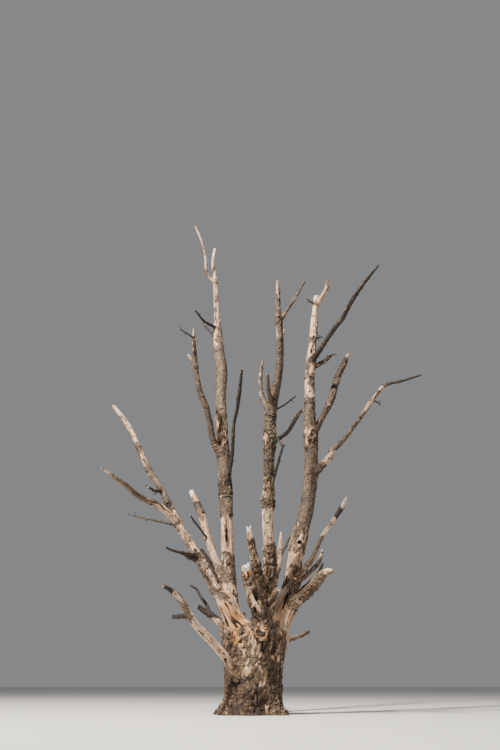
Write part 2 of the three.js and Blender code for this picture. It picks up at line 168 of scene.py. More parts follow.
@dataclass(frozen=True)
class Limb:
    """A limb's growth out of its parent's middle line.

    A leg is a run, a lean from upright, a heading and the thickness at its far end. A
    knuckle is a share of the length and a gain in thickness. A snag is a share, a lean, a
    heading, a reach from the bark and a thickness.
    """

    kind: Kind
    name: str
    finish: Finish
    parent: str
    at: float
    thick: float
    legs: tuple[tuple[float, float, float, float], ...]
    knuckles: tuple[Pair, ...] = ()
    snags: tuple[tuple[float, float, float, float, float], ...] = ()


LIMBS = (
    Limb(Kind.STEM, "left_stem", Finish.BLEACHED, "trunk", 0.72, 170,
         ((700, 36, 187, 158), (280, 33, 151, 130), (730, 33, 155, 122), (450, 37, 151, 106),
          (330, 32, 151, 98), (460, 31, 146, 84), (430, 37, 153, 90), (400, 31, 148, 82),
          (620, 31, 148, 80), (550, 39, 155, 66)),
         snags=((0.4, 60, 20, 22, 34), (0.42, 100, 215, 30, 26), (0.455, 95, 205, 48, 24),
                (0.67, 110, 215, 24, 52))),
    Limb(Kind.STEM, "tall_stem", Finish.BARK, "trunk", 0.35, 240,
         ((1030, 19, 159, 232), (500, 15, 112, 198), (1270, 12, 104, 180), (910, 13, 109, 164),
          (1050, 12, 106, 160), (530, 10, 88, 190), (600, 13, 126, 174), (540, 11, 108, 106),
          (960, 9, 113, 76), (520, 13, 119, 62), (340, 11, 65, 60)),
         knuckles=((0.355, 0.13), (0.43, 0.08)),
         snags=((0.592, 50, 190, 70, 15), (0.52, 30, 0, 20, 30))),
    Limb(Kind.STEM, "middle_stem", Finish.BARK, "trunk", 0.31, 230,
         ((1000, 14, 322, 226), (520, 9, 314, 178), (770, 13, 261, 146), (730, 18, 274, 138),
          (480, 17, 276, 150), (470, 20, 284, 144), (490, 22, 302, 100), (470, 14, 280, 100),
          (410, 15, 260, 76), (520, 19, 265, 40)), knuckles=((0.435, 0.2), (0.59, 0.12)),
         snags=((0.963, 50, 0, 36, 16), (0.97, 45, 180, 38, 15), (0.5, 70, 10, 18, 30))),
    Limb(Kind.STEM, "right_stem", Finish.MOTTLED, "trunk", 0.39, 264,
         ((1070, 27, 7, 260), (520, 16, 36, 214), (540, 15, 42, 214), (550, 19, 34, 200),
          (740, 14, 55, 204), (740, 9, 85, 180), (770, 7, 76, 152), (860, 9, 52, 128),
          (1030, 9, 40, 98)), knuckles=((0.31, 0.08), (0.59, 0.12)),
         snags=((0.33, 60, 0, 36, 70), (0.668, 55, 350, 42, 56), (0.585, 60, 180, 15, 18),
                (0.555, 80, 185, 18, 18))),
    Limb(Kind.BOUGH, "low_left_bough", Finish.BLEACHED, "trunk", 0.12, 122,
         ((780, 45, 231, 114), (210, 45, 211, 106), (400, 51, 213, 96), (200, 45, 222, 86),
          (180, 44, 230, 70), (210, 51, 228, 66), (220, 71, 227, 36))),
    Limb(Kind.STUB, "low_left_stub", Finish.WEATHERED, "low_left_bough", 0.72, 66,
         ((290, 91, 145, 44),), snags=((0.85, 60, 180, 40, 20),)),
    Limb(Kind.STUB, "mid_left_bough", Finish.WEATHERED, "trunk", 0.55, 124,
         ((560, 45, 163, 120), (180, 37, 144, 98), (170, 47, 150, 86), (150, 59, 170, 74),
          (140, 57, 168, 56)), snags=((0.93, 15, 150, 34, 26),)),
    Limb(Kind.STUB, "mid_left_twig", Finish.WEATHERED, "mid_left_bough", 0.83, 48,
         ((200, 38, 121, 42), (150, 47, 139, 38), (160, 40, 136, 34), (130, 58, 161, 22))),
    Limb(Kind.STUB, "short_stump", Finish.BLEACHED, "trunk", 0.5, 184,
         ((760, 26, 286, 182), (240, 30, 228, 160), (210, 26, 229, 140), (180, 28, 240, 122),
          (110, 30, 246, 114))),
    Limb(Kind.STUB, "front_ring_stub", Finish.MOTTLED, "trunk", 0.76, 150, ((480, 69, 281, 176),)),
    Limb(Kind.STUB, "base_stub", Finish.WEATHERED, "trunk", 0.8, 62,
         ((330, 44, 149, 60), (210, 23, 64, 44))),
    Limb(Kind.BOUGH, "low_right_bough", Finish.MOTTLED, "trunk", 0.39, 80,
         ((690, 50, 39, 78), (110, 49, 48, 70), (170, 73, 43, 56), (210, 76, 44, 52),
          (170, 68, 38, 36))),
    Limb(Kind.STUB, "low_right_stub", Finish.BLEACHED, "trunk", 0.68, 82,
         ((460, 63, 21, 80), (190, 60, 45, 58))),
    Limb(Kind.BOUGH, "left_main_bough", Finish.MOTTLED, "left_stem", 0.46, 100,
         ((270, 52, 212, 90), (240, 70, 228, 92), (310, 80, 224, 76), (300, 67, 232, 70),
          (250, 72, 231, 50), (270, 70, 233, 20)),
         snags=((0.8, 130, 240, 22, 20), (0.88, 125, 230, 18, 14))),
    Limb(Kind.TWIG, "left_thin_twig", Finish.TWIG, "left_stem", 0.45, 38,
         ((500, 74, 148, 32), (360, 75, 141, 28), (330, 72, 139, 16))),
    Limb(Kind.STUB, "left_knob_twig", Finish.WEATHERED, "left_stem", 0.32, 90,
         ((200, 86, 225, 84), (90, 78, 222, 50), (200, 85, 225, 34), (210, 84, 239, 20))),
    Limb(Kind.TWIG, "left_upper_spur", Finish.TWIG, "left_stem", 0.59, 48,
         ((210, 96, 233, 42), (140, 82, 241, 24))),
    Limb(Kind.STUB, "dark_left_limb", Finish.WEATHERED, "left_stem", 0.2, 114,
         ((710, 56, 101, 102), (690, 57, 111, 66))),
    Limb(Kind.STUB, "pale_stub", Finish.BLEACHED, "tall_stem", 0.15, 112,
         ((680, 30, 134, 110), (380, 28, 133, 110), (330, 25, 130, 114), (270, 28, 133, 106),
          (320, 31, 144, 76)), snags=((0.52, 80, 200, 20, 40),)),
    Limb(Kind.TWIG, "pale_stub_twig", Finish.TWIG, "pale_stub", 0.51, 30,
         ((280, 52, 228, 25), (280, 55, 234, 16))),
    Limb(Kind.BOUGH, "tall_left_bough", Finish.MOTTLED, "tall_stem", 0.43, 108,
         ((310, 37, 210, 92), (370, 26, 244, 86), (260, 27, 235, 92), (250, 30, 221, 86),
          (390, 21, 239, 80), (340, 15, 251, 62), (340, 17, 262, 22)),
         snags=((0.33, 70, 0, 14, 24), (0.86, 60, 180, 18, 14))),
    Limb(Kind.TWIG, "tall_left_bough_twig", Finish.TWIG, "tall_left_bough", 0.93, 24,
         ((360, 86, 233, 14),)),
    Limb(Kind.STUB, "tall_left_bough_stub", Finish.BLEACHED, "tall_left_bough", 0.71, 54,
         ((340, 34, 138, 38),)),
    Limb(Kind.BOUGH, "tall_right_bough", Finish.WEATHERED, "tall_stem", 0.36, 60,
         ((520, 27, 295, 54), (310, 29, 277, 52), (280, 31, 279, 44), (230, 28, 297, 48),
          (270, 33, 284, 52), (370, 34, 282, 34)), snags=((0.72, 50, 0, 16, 24),)),
    Limb(Kind.TWIG, "tall_upper_twig", Finish.TWIG, "tall_stem", 0.76, 46,
         ((370, 85, 228, 38), (260, 61, 230, 22))),
    Limb(Kind.TWIG, "tall_lower_twig", Finish.TWIG, "tall_stem", 0.73, 38, ((700, 44, 130, 26),)),
    Limb(Kind.BOUGH, "tall_top_fork", Finish.BLEACHED, "tall_stem", 0.89, 58,
         ((270, 48, 213, 48), (310, 16, 252, 44), (310, 27, 239, 38), (330, 27, 214, 28)),
         snags=((0.59, 85, 185, 62, 12),)),
    Limb(Kind.STUB, "middle_stump", Finish.MOTTLED, "middle_stem", 0.15, 150,
         ((660, 22, 244, 134), (300, 22, 241, 102), (220, 26, 244, 80), (160, 23, 248, 70)),
         snags=((0.83, 80, 200, 16, 40), (0.85, 70, 330, 14, 36))),
    Limb(Kind.STUB, "middle_side_stub", Finish.BLEACHED, "middle_stem", 0.21, 86,
         ((530, 33, 58, 74), (460, 32, 78, 62), (200, 29, 80, 22))),
    Limb(Kind.TWIG, "middle_side_twig", Finish.TWIG, "middle_side_stub", 0.56, 30,
         ((550, 44, 60, 18),)),
    Limb(Kind.BOUGH, "middle_dark_shoot", Finish.WEATHERED, "middle_stem", 0.44, 42,
         ((320, 42, 290, 40), (270, 44, 289, 36), (210, 39, 294, 32), (130, 51, 289, 24))),
    Limb(Kind.BOUGH, "middle_right_bough", Finish.WEATHERED, "middle_stem", 0.58, 56,
         ((270, 80, 312, 50), (150, 75, 305, 52), (150, 63, 297, 52), (210, 64, 295, 48),
          (130, 83, 292, 28))),
    Limb(Kind.TWIG, "middle_strip", Finish.TWIG, "middle_stem", 0.63, 32,
         ((280, 150, 312, 26), (200, 151, 311, 14))),
    Limb(Kind.BOUGH, "middle_hook", Finish.MOTTLED, "middle_stem", 0.65, 78,
         ((370, 31, 126, 66), (300, 24, 109, 60), (220, 17, 84, 56), (250, 10, 51, 48))),
    Limb(Kind.STUB, "middle_inner_stub", Finish.MOTTLED, "middle_stem", 0.68, 66,
         ((230, 53, 251, 56), (250, 29, 261, 40))),
    Limb(Kind.TWIG, "middle_thin_twig", Finish.TWIG, "middle_stem", 0.66, 30,
         ((410, 57, 51, 26), (380, 53, 53, 18))),
    Limb(Kind.STUB, "middle_upper_stub", Finish.BLEACHED, "middle_stem", 0.83, 48,
         ((420, 29, 71, 34),), snags=((0.9, 40, 0, 55, 12),)),
    Limb(Kind.BOUGH, "middle_top_fork", Finish.MOTTLED, "middle_stem", 0.89, 54,
         ((340, 35, 54, 46), (470, 38, 55, 44), (480, 32, 47, 26))),
    Limb(Kind.STUB, "front_stub", Finish.MOTTLED, "middle_stem", 0.15, 76,
         ((420, 52, 305, 68), (250, 50, 311, 62), (170, 54, 314, 42))),
    Limb(Kind.STUB, "front_knob", Finish.MOTTLED, "middle_stem", 0.18, 72, ((420, 57, 295, 58),)),
    Limb(Kind.STUB, "right_thick_bough", Finish.MOTTLED, "right_stem", 0.15, 124,
         ((450, 57, 328, 118), (320, 58, 307, 106), (170, 65, 309, 88), (100, 91, 315, 52))),
    Limb(Kind.BOUGH, "right_dark_shoot", Finish.WEATHERED, "right_stem", 0.17, 60,
         ((640, 60, 51, 56), (310, 60, 54, 52), (260, 42, 57, 36)), snags=((0.88, 30, 0, 50, 18),)),
    Limb(Kind.BOUGH, "right_low_shoot", Finish.MOTTLED, "right_stem", 0.2, 64,
         ((630, 59, 49, 56), (250, 55, 53, 50), (300, 44, 66, 34))),
    Limb(Kind.BOUGH, "right_low_bough", Finish.MOTTLED, "right_stem", 0.22, 90,
         ((390, 58, 317, 70), (250, 45, 305, 56), (200, 43, 300, 52), (400, 48, 313, 54),
          (140, 46, 315, 64), (180, 41, 307, 28)), snags=((0.8, 90, 330, 16, 26),)),
    Limb(Kind.BOUGH, "right_wide_bough", Finish.MOTTLED, "right_stem", 0.47, 108,
         ((400, 50, 330, 90), (210, 45, 320, 82), (220, 57, 319, 66), (650, 46, 322, 58),
          (300, 47, 318, 50), (140, 59, 325, 46), (280, 88, 329, 36), (300, 83, 331, 22)),
         snags=((0.17, 105, 340, 34, 44), (0.475, 115, 345, 34, 14), (0.715, 75, 332, 95, 26),
                (0.768, 15, 120, 42, 16))),
    Limb(Kind.TWIG, "right_wide_twig", Finish.TWIG, "right_wide_bough", 0.64, 26, ((270, 87, 52, 14),)),
    Limb(Kind.BOUGH, "right_second_bough", Finish.MOTTLED, "right_stem", 0.57, 100,
         ((470, 31, 34, 92), (570, 35, 48, 88), (330, 30, 59, 92), (310, 29, 53, 88), (390, 36, 52, 82),
          (390, 36, 52, 58)), snags=((0.76, 80, 340, 16, 26),)),
    Limb(Kind.STUB, "right_short_stub", Finish.WEATHERED, "right_stem", 0.77, 70,
         ((530, 55, 49, 66), (270, 52, 52, 56), (240, 58, 50, 36))),
    Limb(Kind.BOUGH, "right_long_bough", Finish.WEATHERED, "right_stem", 0.79, 88,
         ((430, 58, 306, 74), (420, 61, 303, 66), (160, 61, 311, 74), (160, 65, 290, 62),
          (360, 67, 292, 64), (340, 60, 305, 52), (290, 63, 310, 24)),
         snags=((0.66, 80, 350, 22, 16),)),
    Limb(Kind.TWIG, "right_upper_twig", Finish.TWIG, "right_stem", 0.86, 28, ((400, 60, 52, 16),)),
    Limb(Kind.STUB, "right_top_fork", Finish.BLEACHED, "right_stem", 0.97, 84,
         ((220, 53, 312, 70), (170, 43, 310, 70), (130, 29, 294, 58))),
    Limb(Kind.TWIG, "right_top_spur", Finish.TWIG, "right_stem", 0.97, 28, ((240, 72, 216, 14),)),
)

# How each limb has weathered, as the share of its length that each look reaches
LOOKS = {
    "left_stem": (
        (0.15, Look.TORN), (0.2, Look.MOTTLED), (0.3, Look.WORN), (0.35, Look.BARE), (0.4, Look.MOTTLED),
        (0.49, Look.BARE), (0.55, Look.ROUGH), (0.7, Look.BARK), (0.95, Look.MOTTLED), (1, Look.PALE),
    ),
    "tall_stem": (
        (0.11, Look.TORN), (0.17, Look.BARE), (0.228, Look.BARK), (0.302, Look.BARE),
        (0.345, Look.BARK), (0.395, Look.ROUGH), (0.44, Look.BARK), (0.475, Look.ROUGH),
        (0.54, Look.WORN), (0.7, Look.BARK), (0.82, Look.MOTTLED), (0.92, Look.BARE), (1, Look.PALE),
    ),
    "middle_stem": (
        (0.2, Look.BARE), (0.332, Look.WORN), (0.42, Look.PALE), (0.45, Look.ROUGH),
        (0.505, Look.WORN), (0.565, Look.BARK), (0.607, Look.ROUGH), (0.86, Look.BARK),
        (0.99, Look.MOTTLED), (1, Look.PALE),
    ),
    "right_stem": (
        (0.09, Look.MOTTLED), (0.17, Look.BARE), (0.22, Look.WORN), (0.275, Look.BARE), (0.34, Look.WORN),
        (0.54, Look.BARK), (0.595, Look.ROUGH), (0.685, Look.BARK), (0.87, Look.MOTTLED),
        (0.97, Look.BARE), (1, Look.PALE),
    ),
    "pale_stub": (
        (0.25, Look.MOTTLED), (0.76, Look.BARE), (0.87, Look.BARK), (0.94, Look.BARE), (1, Look.WHITE),
    ),
    "middle_stump": (
        (0.42, Look.WORN), (0.6, Look.ROUGH), (0.84, Look.WORN), (0.88, Look.ROUGH), (0.93, Look.BARE),
        (1, Look.WHITE),
    ),
    "short_stump": (
        (0.45, Look.BARE), (0.6, Look.ROUGH), (0.9, Look.WORN), (0.95, Look.TORN), (1, Look.WHITE),
    ),
    "low_left_bough": ((0.35, Look.WORN), (0.7, Look.BARE), (0.93, Look.MOTTLED), (1, Look.DARK)),
    "mid_left_bough": ((0.75, Look.WORN), (1, Look.DARK)),
    "right_second_bough": ((0.3, Look.BARK), (0.9, Look.ROUGH), (1, Look.WHITE)),
    "right_wide_bough": (
        (0.12, Look.ROUGH), (0.25, Look.MOTTLED), (0.5, Look.BARK), (0.75, Look.MOTTLED), (1, Look.DARK),
    ),
    "left_main_bough": ((0.3, Look.BARE), (0.8, Look.BARK), (1, Look.MOTTLED)),
    "tall_left_bough": ((0.8, Look.BARK), (0.93, Look.WORN), (1, Look.MOTTLED)),
    "tall_left_bough_stub": ((0.7, Look.BARK), (1, Look.BARE)),
    "right_thick_bough": ((0.3, Look.WORN), (0.85, Look.ROUGH), (1, Look.MOTTLED)),
    "right_short_stub": ((1, Look.MOTTLED),),
    "right_low_bough": (
        (0.25, Look.WORN), (0.55, Look.BARK), (0.78, Look.MOTTLED), (0.9, Look.DARK), (1, Look.PALE),
    ),
    "right_low_shoot": ((1, Look.WORN),),
    "low_right_bough": ((1, Look.WORN),),
    "front_ring_stub": ((0.9, Look.WORN), (1, Look.TORN)),
    "front_stub": ((0.4, Look.WORN), (0.85, Look.BARK), (1, Look.DARK)),
    "front_knob": ((1, Look.WORN),),
    "middle_hook": ((0.9, Look.BARK), (1, Look.MOTTLED)),
    "middle_inner_stub": ((1, Look.BARK),),
    "middle_side_stub": ((0.7, Look.WORN), (1, Look.BARE)),
    "middle_upper_stub": ((1, Look.PALE),),
}

# The limbs whose broken end is hollow
HOLLOW = ("front_ring_stub",)

# The limbs at whose feet the wood is torn
TORN_FEET = ("left_stem", "mid_left_bough")

# The look of any other limb, by its finish
PLAIN_LOOK = {
    Finish.BARK: Look.BARK,
    Finish.MOTTLED: Look.MOTTLED,
    Finish.BLEACHED: Look.BARE,
    Finish.WEATHERED: Look.DARK,
    Finish.TWIG: Look.DARK,
}


@dataclass(frozen=True)
class Mark:
    """A scar or a hole: where it is, how long and wide, how deep, and how high its lips are.

    A width of 1 stands for a ring all round, which has no heading.
    """

    share: float
    heading: float
    long: float
    wide: float
    deep: float
    lip: float

    @property
    def all_round(self) -> bool:
        """Whether it is a ring all round."""
        return self.wide >= 1


MARKS = {
    "tall_stem": (
        Mark(0.262, 268, 0.15, 0.024, 0.036, 0.012), Mark(0.835, 262, 0.03, 0.011, 0.016, 0.004),
        Mark(0.54, 0, 0.014, 1, 0.007, 0.007), Mark(0.205, 285, 0.03, 0.03, 0.014, 0.008),
        Mark(0.302, 0, 0.016, 1, 0.006, 0.008), Mark(0.49, 0, 0.011, 1, 0.006, 0.006),
        Mark(0.34, 230, 0.012, 0.3, 0.007, 0.006), Mark(0.37, 290, 0.03, 0.03, 0.02, 0.014),
        Mark(0.228, 0, 0.012, 1, 0.006, 0.005),
    ),
    "left_stem": (
        Mark(0.24, 250, 0.1, 0.014, 0.014, 0.005), Mark(0.5, 240, 0.03, 0.018, 0.012, 0.006),
        Mark(0.83, 0, 0.01, 1, 0.005, 0.004), Mark(0.68, 0, 0.01, 1, 0.004, 0.006),
        Mark(0.34, 290, 0.04, 0.02, 0.014, 0.008), Mark(0.53, 270, 0.03, 0.03, 0.006, 0.016),
    ),
    "right_stem": (
        Mark(0.17, 250, 0.14, 0.016, 0.016, 0.006), Mark(0.3, 280, 0.03, 0.035, 0.02, 0.012),
        Mark(0.56, 255, 0.03, 0.04, 0.014, 0.012), Mark(0.665, 0, 0.014, 1, 0.005, 0.01),
        Mark(0.47, 0, 0.008, 1, 0.002, 0.004), Mark(0.41, 0, 0.008, 1, 0.002, 0.004),
        Mark(0.74, 0, 0.012, 1, 0.006, 0.009), Mark(0.88, 0, 0.012, 1, 0.006, 0.009),
        Mark(0.82, 265, 0.05, 0.02, 0.014, 0.006), Mark(0.93, 240, 0.03, 0.014, 0.01, 0.005),
    ),
    "middle_stem": (
        Mark(0.385, 262, 0.02, 0.014, 0.012, 0.006), Mark(0.25, 285, 0.02, 0.02, 0.01, 0.006),
        Mark(0.332, 0, 0.012, 1, 0.006, 0.006), Mark(0.508, 0, 0.013, 1, 0.006, 0.009),
        Mark(0.565, 0, 0.013, 1, 0.007, 0.009), Mark(0.605, 0, 0.011, 1, 0.006, 0.008),
        Mark(0.54, 0, 0.009, 1, 0.004, 0.006), Mark(0.31, 262, 0.022, 0.016, 0.012, 0.006),
        Mark(0.285, 0, 0.01, 1, 0.004, 0.005), Mark(0.65, 0, 0.01, 1, 0.004, 0.006),
    ),
    "short_stump": (
        Mark(0.72, 300, 0.09, 0.03, 0.022, 0.006), Mark(0.6, 250, 0.05, 0.02, 0.016, 0.005),
        Mark(0.84, 260, 0.016, 2, 0.008, 0.01),
    ),
    "middle_stump": (Mark(0.3, 250, 0.03, 0.02, 0.012, 0.006), Mark(0.84, 0, 0.014, 1, 0.007, 0.01)),
    "pale_stub": (Mark(0.76, 0, 0.012, 1, 0.005, 0.007), Mark(0.87, 0, 0.012, 1, 0.005, 0.007)),
}

# Numbers, noise and lines


def smoothstep(low: float, high: float, value: Array) -> Array:
    """Rise smoothly from 0 to 1 as a value goes from low to high, or fall where low is above."""
    share = np.clip((value - low) / (high - low), 0.0, 1.0)
    return share * share * (3.0 - 2.0 * share)


def hump(value: Array, at: float, wide: float) -> Array:
    """Rise to 1 where a value comes within a width of a place, and fall off on both sides."""
    return np.exp(-(((value - at) / wide) ** 2))


def unit(vectors: Array) -> Array:
    """Scale vectors to a length of one."""
    return vectors / np.maximum(np.linalg.norm(vectors, axis=-1, keepdims=True), 1e-9)


def direction(lean: float, heading: float) -> Array:
    """Turn a lean from upright and a heading, both in degrees, into a direction."""
    polar, turn = math.radians(lean), math.radians(heading)
    return np.array([math.sin(polar) * math.cos(turn), math.sin(polar) * math.sin(turn), math.cos(polar)])


def aside(ahead: Array, hint: Array, turn: float) -> Array:
    """Give the direction at right angles to another one that lies a turn round it from a hint."""
    flat = unit(hint)
    return flat * math.cos(turn) + np.cross(ahead, flat) * math.sin(turn)


def ring_of(sides: int) -> Array:
    """Give evenly spaced headings all round, in radians."""
    return np.arange(sides) * 2 * math.pi / sides


def spokes(turn: Array, side: Array, up: Array) -> Array:
    """Give the directions out of a line, for each of its frames and each heading round it."""
    return np.cos(turn)[None, :, None] * side[:, None] + np.sin(turn)[None, :, None] * up[:, None]


def turned_from(turn: Array, heading: Array | float) -> Array:
    """Give how far headings lie from another one, from minus to plus half a turn."""
    return (turn - heading + math.pi) % (2 * math.pi) - math.pi


class Seeded:
    """A row of numbers from 0 to 1 that is the same for the same seed."""

    def __init__(self, seed: int) -> None:
        """Start the row."""
        self.state = seed

    def __call__(self) -> float:
        """Give the next number of the row.

        Returns:
            A number from 0 to 1, by the rule that the solids were grown by.
        """
        mask = 0xFFFFFFFF
        self.state = (self.state + 0x6D2B79F5) & mask
        mixed = ((self.state ^ (self.state >> 15)) * (1 | self.state)) & mask
        turned = ((mixed ^ (mixed >> 7)) * (61 | mixed)) & mask
        mixed = ((mixed + turned) & mask) ^ mixed
        return (mixed ^ (mixed >> 14)) / 2**32

    def between(self, low: float, high: float) -> float:
        """Give the next number of the row, spread from low to high."""
        return low + (high - low) * self()


class Noise:
    """Smooth seeded noise in space, from about -1 to 1."""

    slopes_kept = 256
    layer_shift = 17.3
    gain = 1.7

    def __init__(self, seed: int) -> None:
        """Shuffle the lattice and draw its slopes.

        Args:
            seed: The seed of both.
        """
        draw = np.random.default_rng(seed)
        self.order = draw.permutation(self.slopes_kept).astype(np.int32)
        self.slopes = unit(draw.normal(size=(self.slopes_kept, 3))).astype(np.float32)

    def __call__(self, points: Array, stretch: Stretch = (1, 1, 1), octaves: int = 1) -> Array:
        """Read the noise.

        Args:
            points: Points in space, the last axis being x, y and z.
            stretch: Cells per metre along x, y and z.
            octaves: Layers, each twice as fine and half as strong as the one before.

        Returns:
            One number for each point.
        """
        flat = (points * np.asarray(stretch)).reshape(-1, 3).astype(np.float32)
        total = np.zeros(len(flat), np.float32)
        for octave in range(octaves):
            total += 0.5**octave * self.layer(flat * 2.0**octave + self.layer_shift * octave)
        return self.gain * total.reshape(points.shape[:-1])

    def layer(self, points: Array) -> Array:
        """Read one layer of slope noise.

        Args:
            points: A list of points, in cells.

        Returns:
            One number for each point.
        """
        cell = np.floor(points).astype(np.int32)
        part = points - cell
        fade = part * part * part * (part * (part * 6.0 - 15.0) + 10.0)
        total = np.zeros(len(points), np.float32)
        wrap = self.slopes_kept - 1
        for corner in range(8):
            step = np.array([corner & 1, corner >> 1 & 1, corner >> 2 & 1])
            at = cell + step
            index = self.order[at[:, 0] & wrap]
            index = self.order[(index + at[:, 1]) & wrap]
            index = self.order[(index + at[:, 2]) & wrap]
            value = np.einsum("ij,ij->i", self.slopes[index], part - step)
            share = np.where(step, fade, 1.0 - fade)
            total += value * share[:, 0] * share[:, 1] * share[:, 2]
        return total


class Line:
    """A smooth line through points, read by the share of its length."""

    look_ahead = 0.03
    look_share = 0.05
    sideways = 0.9

    def __init__(self, points: list[Array], steps: int = 80) -> None:
        """Lay a centripetal Catmull-Rom line through the points.

        Args:
            points: The points that it passes, in order.
            steps: Samples taken between one point and the next.
        """
        row = [2 * points[0] - points[1], *points, 2 * points[-1] - points[-2]]
        along = np.linspace(0, 1, steps, endpoint=False)[:, None]
        parts = []
        for before, start, end, after in zip(row, row[1:], row[2:], row[3:]):
            back, here, on = (
                math.sqrt(np.linalg.norm(b - a))
                for a, b in ((before, start), (start, end), (end, after))
            )
            leave = (start - before) / back - (end - before) / (back + here) + (end - start) / here
            reach = (end - start) / here - (after - start) / (here + on) + (after - end) / on
            leave, reach = leave * here, reach * here
            bend = -3 * start + 3 * end - 2 * leave - reach
            twist = 2 * start - 2 * end + leave + reach
            parts.append(start + leave * along + bend * along**2 + twist * along**3)
        self.samples = np.concatenate([*parts, points[-1][None]])
        self.walked = walked_along(self.samples)
        self.length = float(self.walked[-1])

    def at(self, share: Array | float) -> Array:
        """Give the points at shares of the length."""
        walked = np.asarray(share) * self.length
        return np.stack([np.interp(walked, self.walked, self.samples[:, k]) for k in range(3)], -1)

    def ahead(self, share: Array | float) -> Array:
        """Give the directions in which the line runs at shares of the length."""
        step = min(self.look_ahead / self.length, self.look_share)
        return unit(self.at(np.minimum(share + step, 1)) - self.at(np.maximum(share - step, 0)))

    def frames(self, shares: Array) -> tuple[Array, Array, Array]:
        """Give untwisted frames along the line.

        Args:
            shares: Shares of the length, in rising order.

        Returns:
            The directions ahead, to the side, which starts out nearest to +X, and at right
            angles to both.
        """
        ahead = self.ahead(shares)
        side = np.zeros_like(ahead)
        east, down = np.array([1.0, 0, 0]), np.array([0, 0, -1.0])
        last = east if abs(ahead[0, 0]) < self.sideways else down
        for i, way in enumerate(ahead):
            last = last - np.dot(last, way) * way
            last = last / np.linalg.norm(last)
            side[i] = last
        return ahead, side, np.cross(ahead, side)


def walked_along(points: Array) -> Array:
    """Give the length walked along a row of points, up to each of them."""
    return np.concatenate([[0.0], np.cumsum(np.linalg.norm(np.diff(points, axis=0), axis=1))])


# The skin of the wood

# The masks of each mesh. The last one is painted shade in cracks, grooves, furrows and holes; the dark mask
# holds dark old bark and also painted shade in the crotches.
MASKS = ("bark", "rough", "pale", "dark", "torn", "crack")


@dataclass
class Skin:
    """A grid of points round a line, and what is worked out for each of them.

    The rows run round the line, and the first and the last are drawn together in one point.
    The girth and the share of the length hold for a whole row. The lift is how far the relief
    stands out, in metres.
    """

    points: Array
    out: Array
    place: Array
    girth: Array
    share: Array
    length: float
    masks: Grids = field(default_factory=dict)
    lift: Array | float = 0.0

    @property
    def walked(self) -> Array:
        """The length walked at each row."""
        return self.share * self.length

    def raise_mask(self, mask: str, some: slice, value: Array) -> None:
        """Raise a mask in some rows to a value, where it is lower."""
        self.masks[mask][some] = np.maximum(self.masks[mask][some], value)

    def darken(self, some: slice, value: Array) -> None:
        """Add to the dark mask in some rows."""
        self.masks["dark"][some] = np.clip(self.masks["dark"][some] + value, 0, 1)

    def finished(self) -> Grids:
        """Give the grids that a mesh is made of, with the relief in the points."""
        points = self.points + self.out * self.lift[..., None]
        return {"points": points, "place": self.place, **self.masks}


def part(grids: Grids, start: int, stop: int) -> Grids:
    """Cut a stretch of rows out of a skin, and close each cut with a row of its mean.

    Args:
        grids: The skin's grids.
        start: The first row that is kept.
        stop: The last row that is kept.

    Returns:
        The grids of the stretch.
    """
    result = {}
    for name, grid in grids.items():
        rows = [grid[start : stop + 1]]
        if start > 0:
            rows.insert(0, np.broadcast_to(grid[start].mean(0), grid[:1].shape))
        if stop < len(grid) - 1:
            rows.append(np.broadcast_to(grid[stop].mean(0), grid[:1].shape))
        result[name] = np.concatenate(rows)
    return result


def steps_of(points: Array) -> Array:
    """Give the mean step from each row of a grid to the next."""
    return np.linalg.norm(np.diff(points, axis=0), axis=2).mean(1)


def column_of(grid: Array) -> Array:
    """Write a grid as a column, with its first and its last row as one entry each."""
    return np.concatenate([grid[:1, 0], grid[1:-1].reshape(-1, *grid.shape[2:]), grid[-1:, 0]])


@dataclass(frozen=True)
class Chart:
    """A stretch of a skin laid flat: its rows and its size in metres."""

    skin: int
    start: int
    stop: int
    wide: float
    tall: float


def charts_of(skins: list[Grids], least: float = 1e-4) -> list[Chart]:
    """Cut skins into charts, a long one into strips that fill a square better.

    Args:
        skins: The skins.
        least: The least size of a chart, in metres.

    Returns:
        The charts of all skins, in order.
    """
    charts = []
    for index, skin in enumerate(skins):
        points = skin["points"]
        edges = np.diff(points, axis=1, append=points[:, :1])
        steps, rounds = steps_of(points), np.linalg.norm(edges, axis=2).sum(1)
        strips = max(1, round(math.sqrt(steps.sum() / max(rounds.mean(), 1e-6))))
        bounds = np.linspace(0, len(points) - 1, strips + 1).astype(int)
        for start, stop in zip(bounds, bounds[1:]):
            tall = float(steps[start:stop].sum())
            wide = float(rounds[start : stop + 1].mean())
            charts.append(Chart(index, int(start), int(stop), max(wide, least), max(tall, least)))
    return charts


def lay_out(charts: list[Chart], gap: float = 0.004) -> tuple[float, dict[Chart, Pair]]:
    """Pack charts into a square on shelves, as large as they fit.

    Args:
        charts: The charts.
        gap: Space between charts, in sides of the square.

    Returns:
        The scale of all charts, and where the corner of each lies.
    """
    first_try, shrink = 1.2, 0.97
    order = sorted(charts, key=lambda chart: -chart.tall)
    scale = first_try / math.sqrt(sum(chart.wide * chart.tall for chart in charts))
    while True:
        corners, left, low, shelf = {}, gap, gap, 0.0
        for chart in order:
            wide, tall = chart.wide * scale + gap, chart.tall * scale + gap
            if left + wide > 1.0:
                left, low, shelf = gap, low + shelf, 0.0
            corners[chart] = (left, low)
            left, shelf = left + wide, max(shelf, tall)
            if left > 1.0 or low + tall > 1.0:
                break
        else:
            return scale, corners
        scale *= shrink


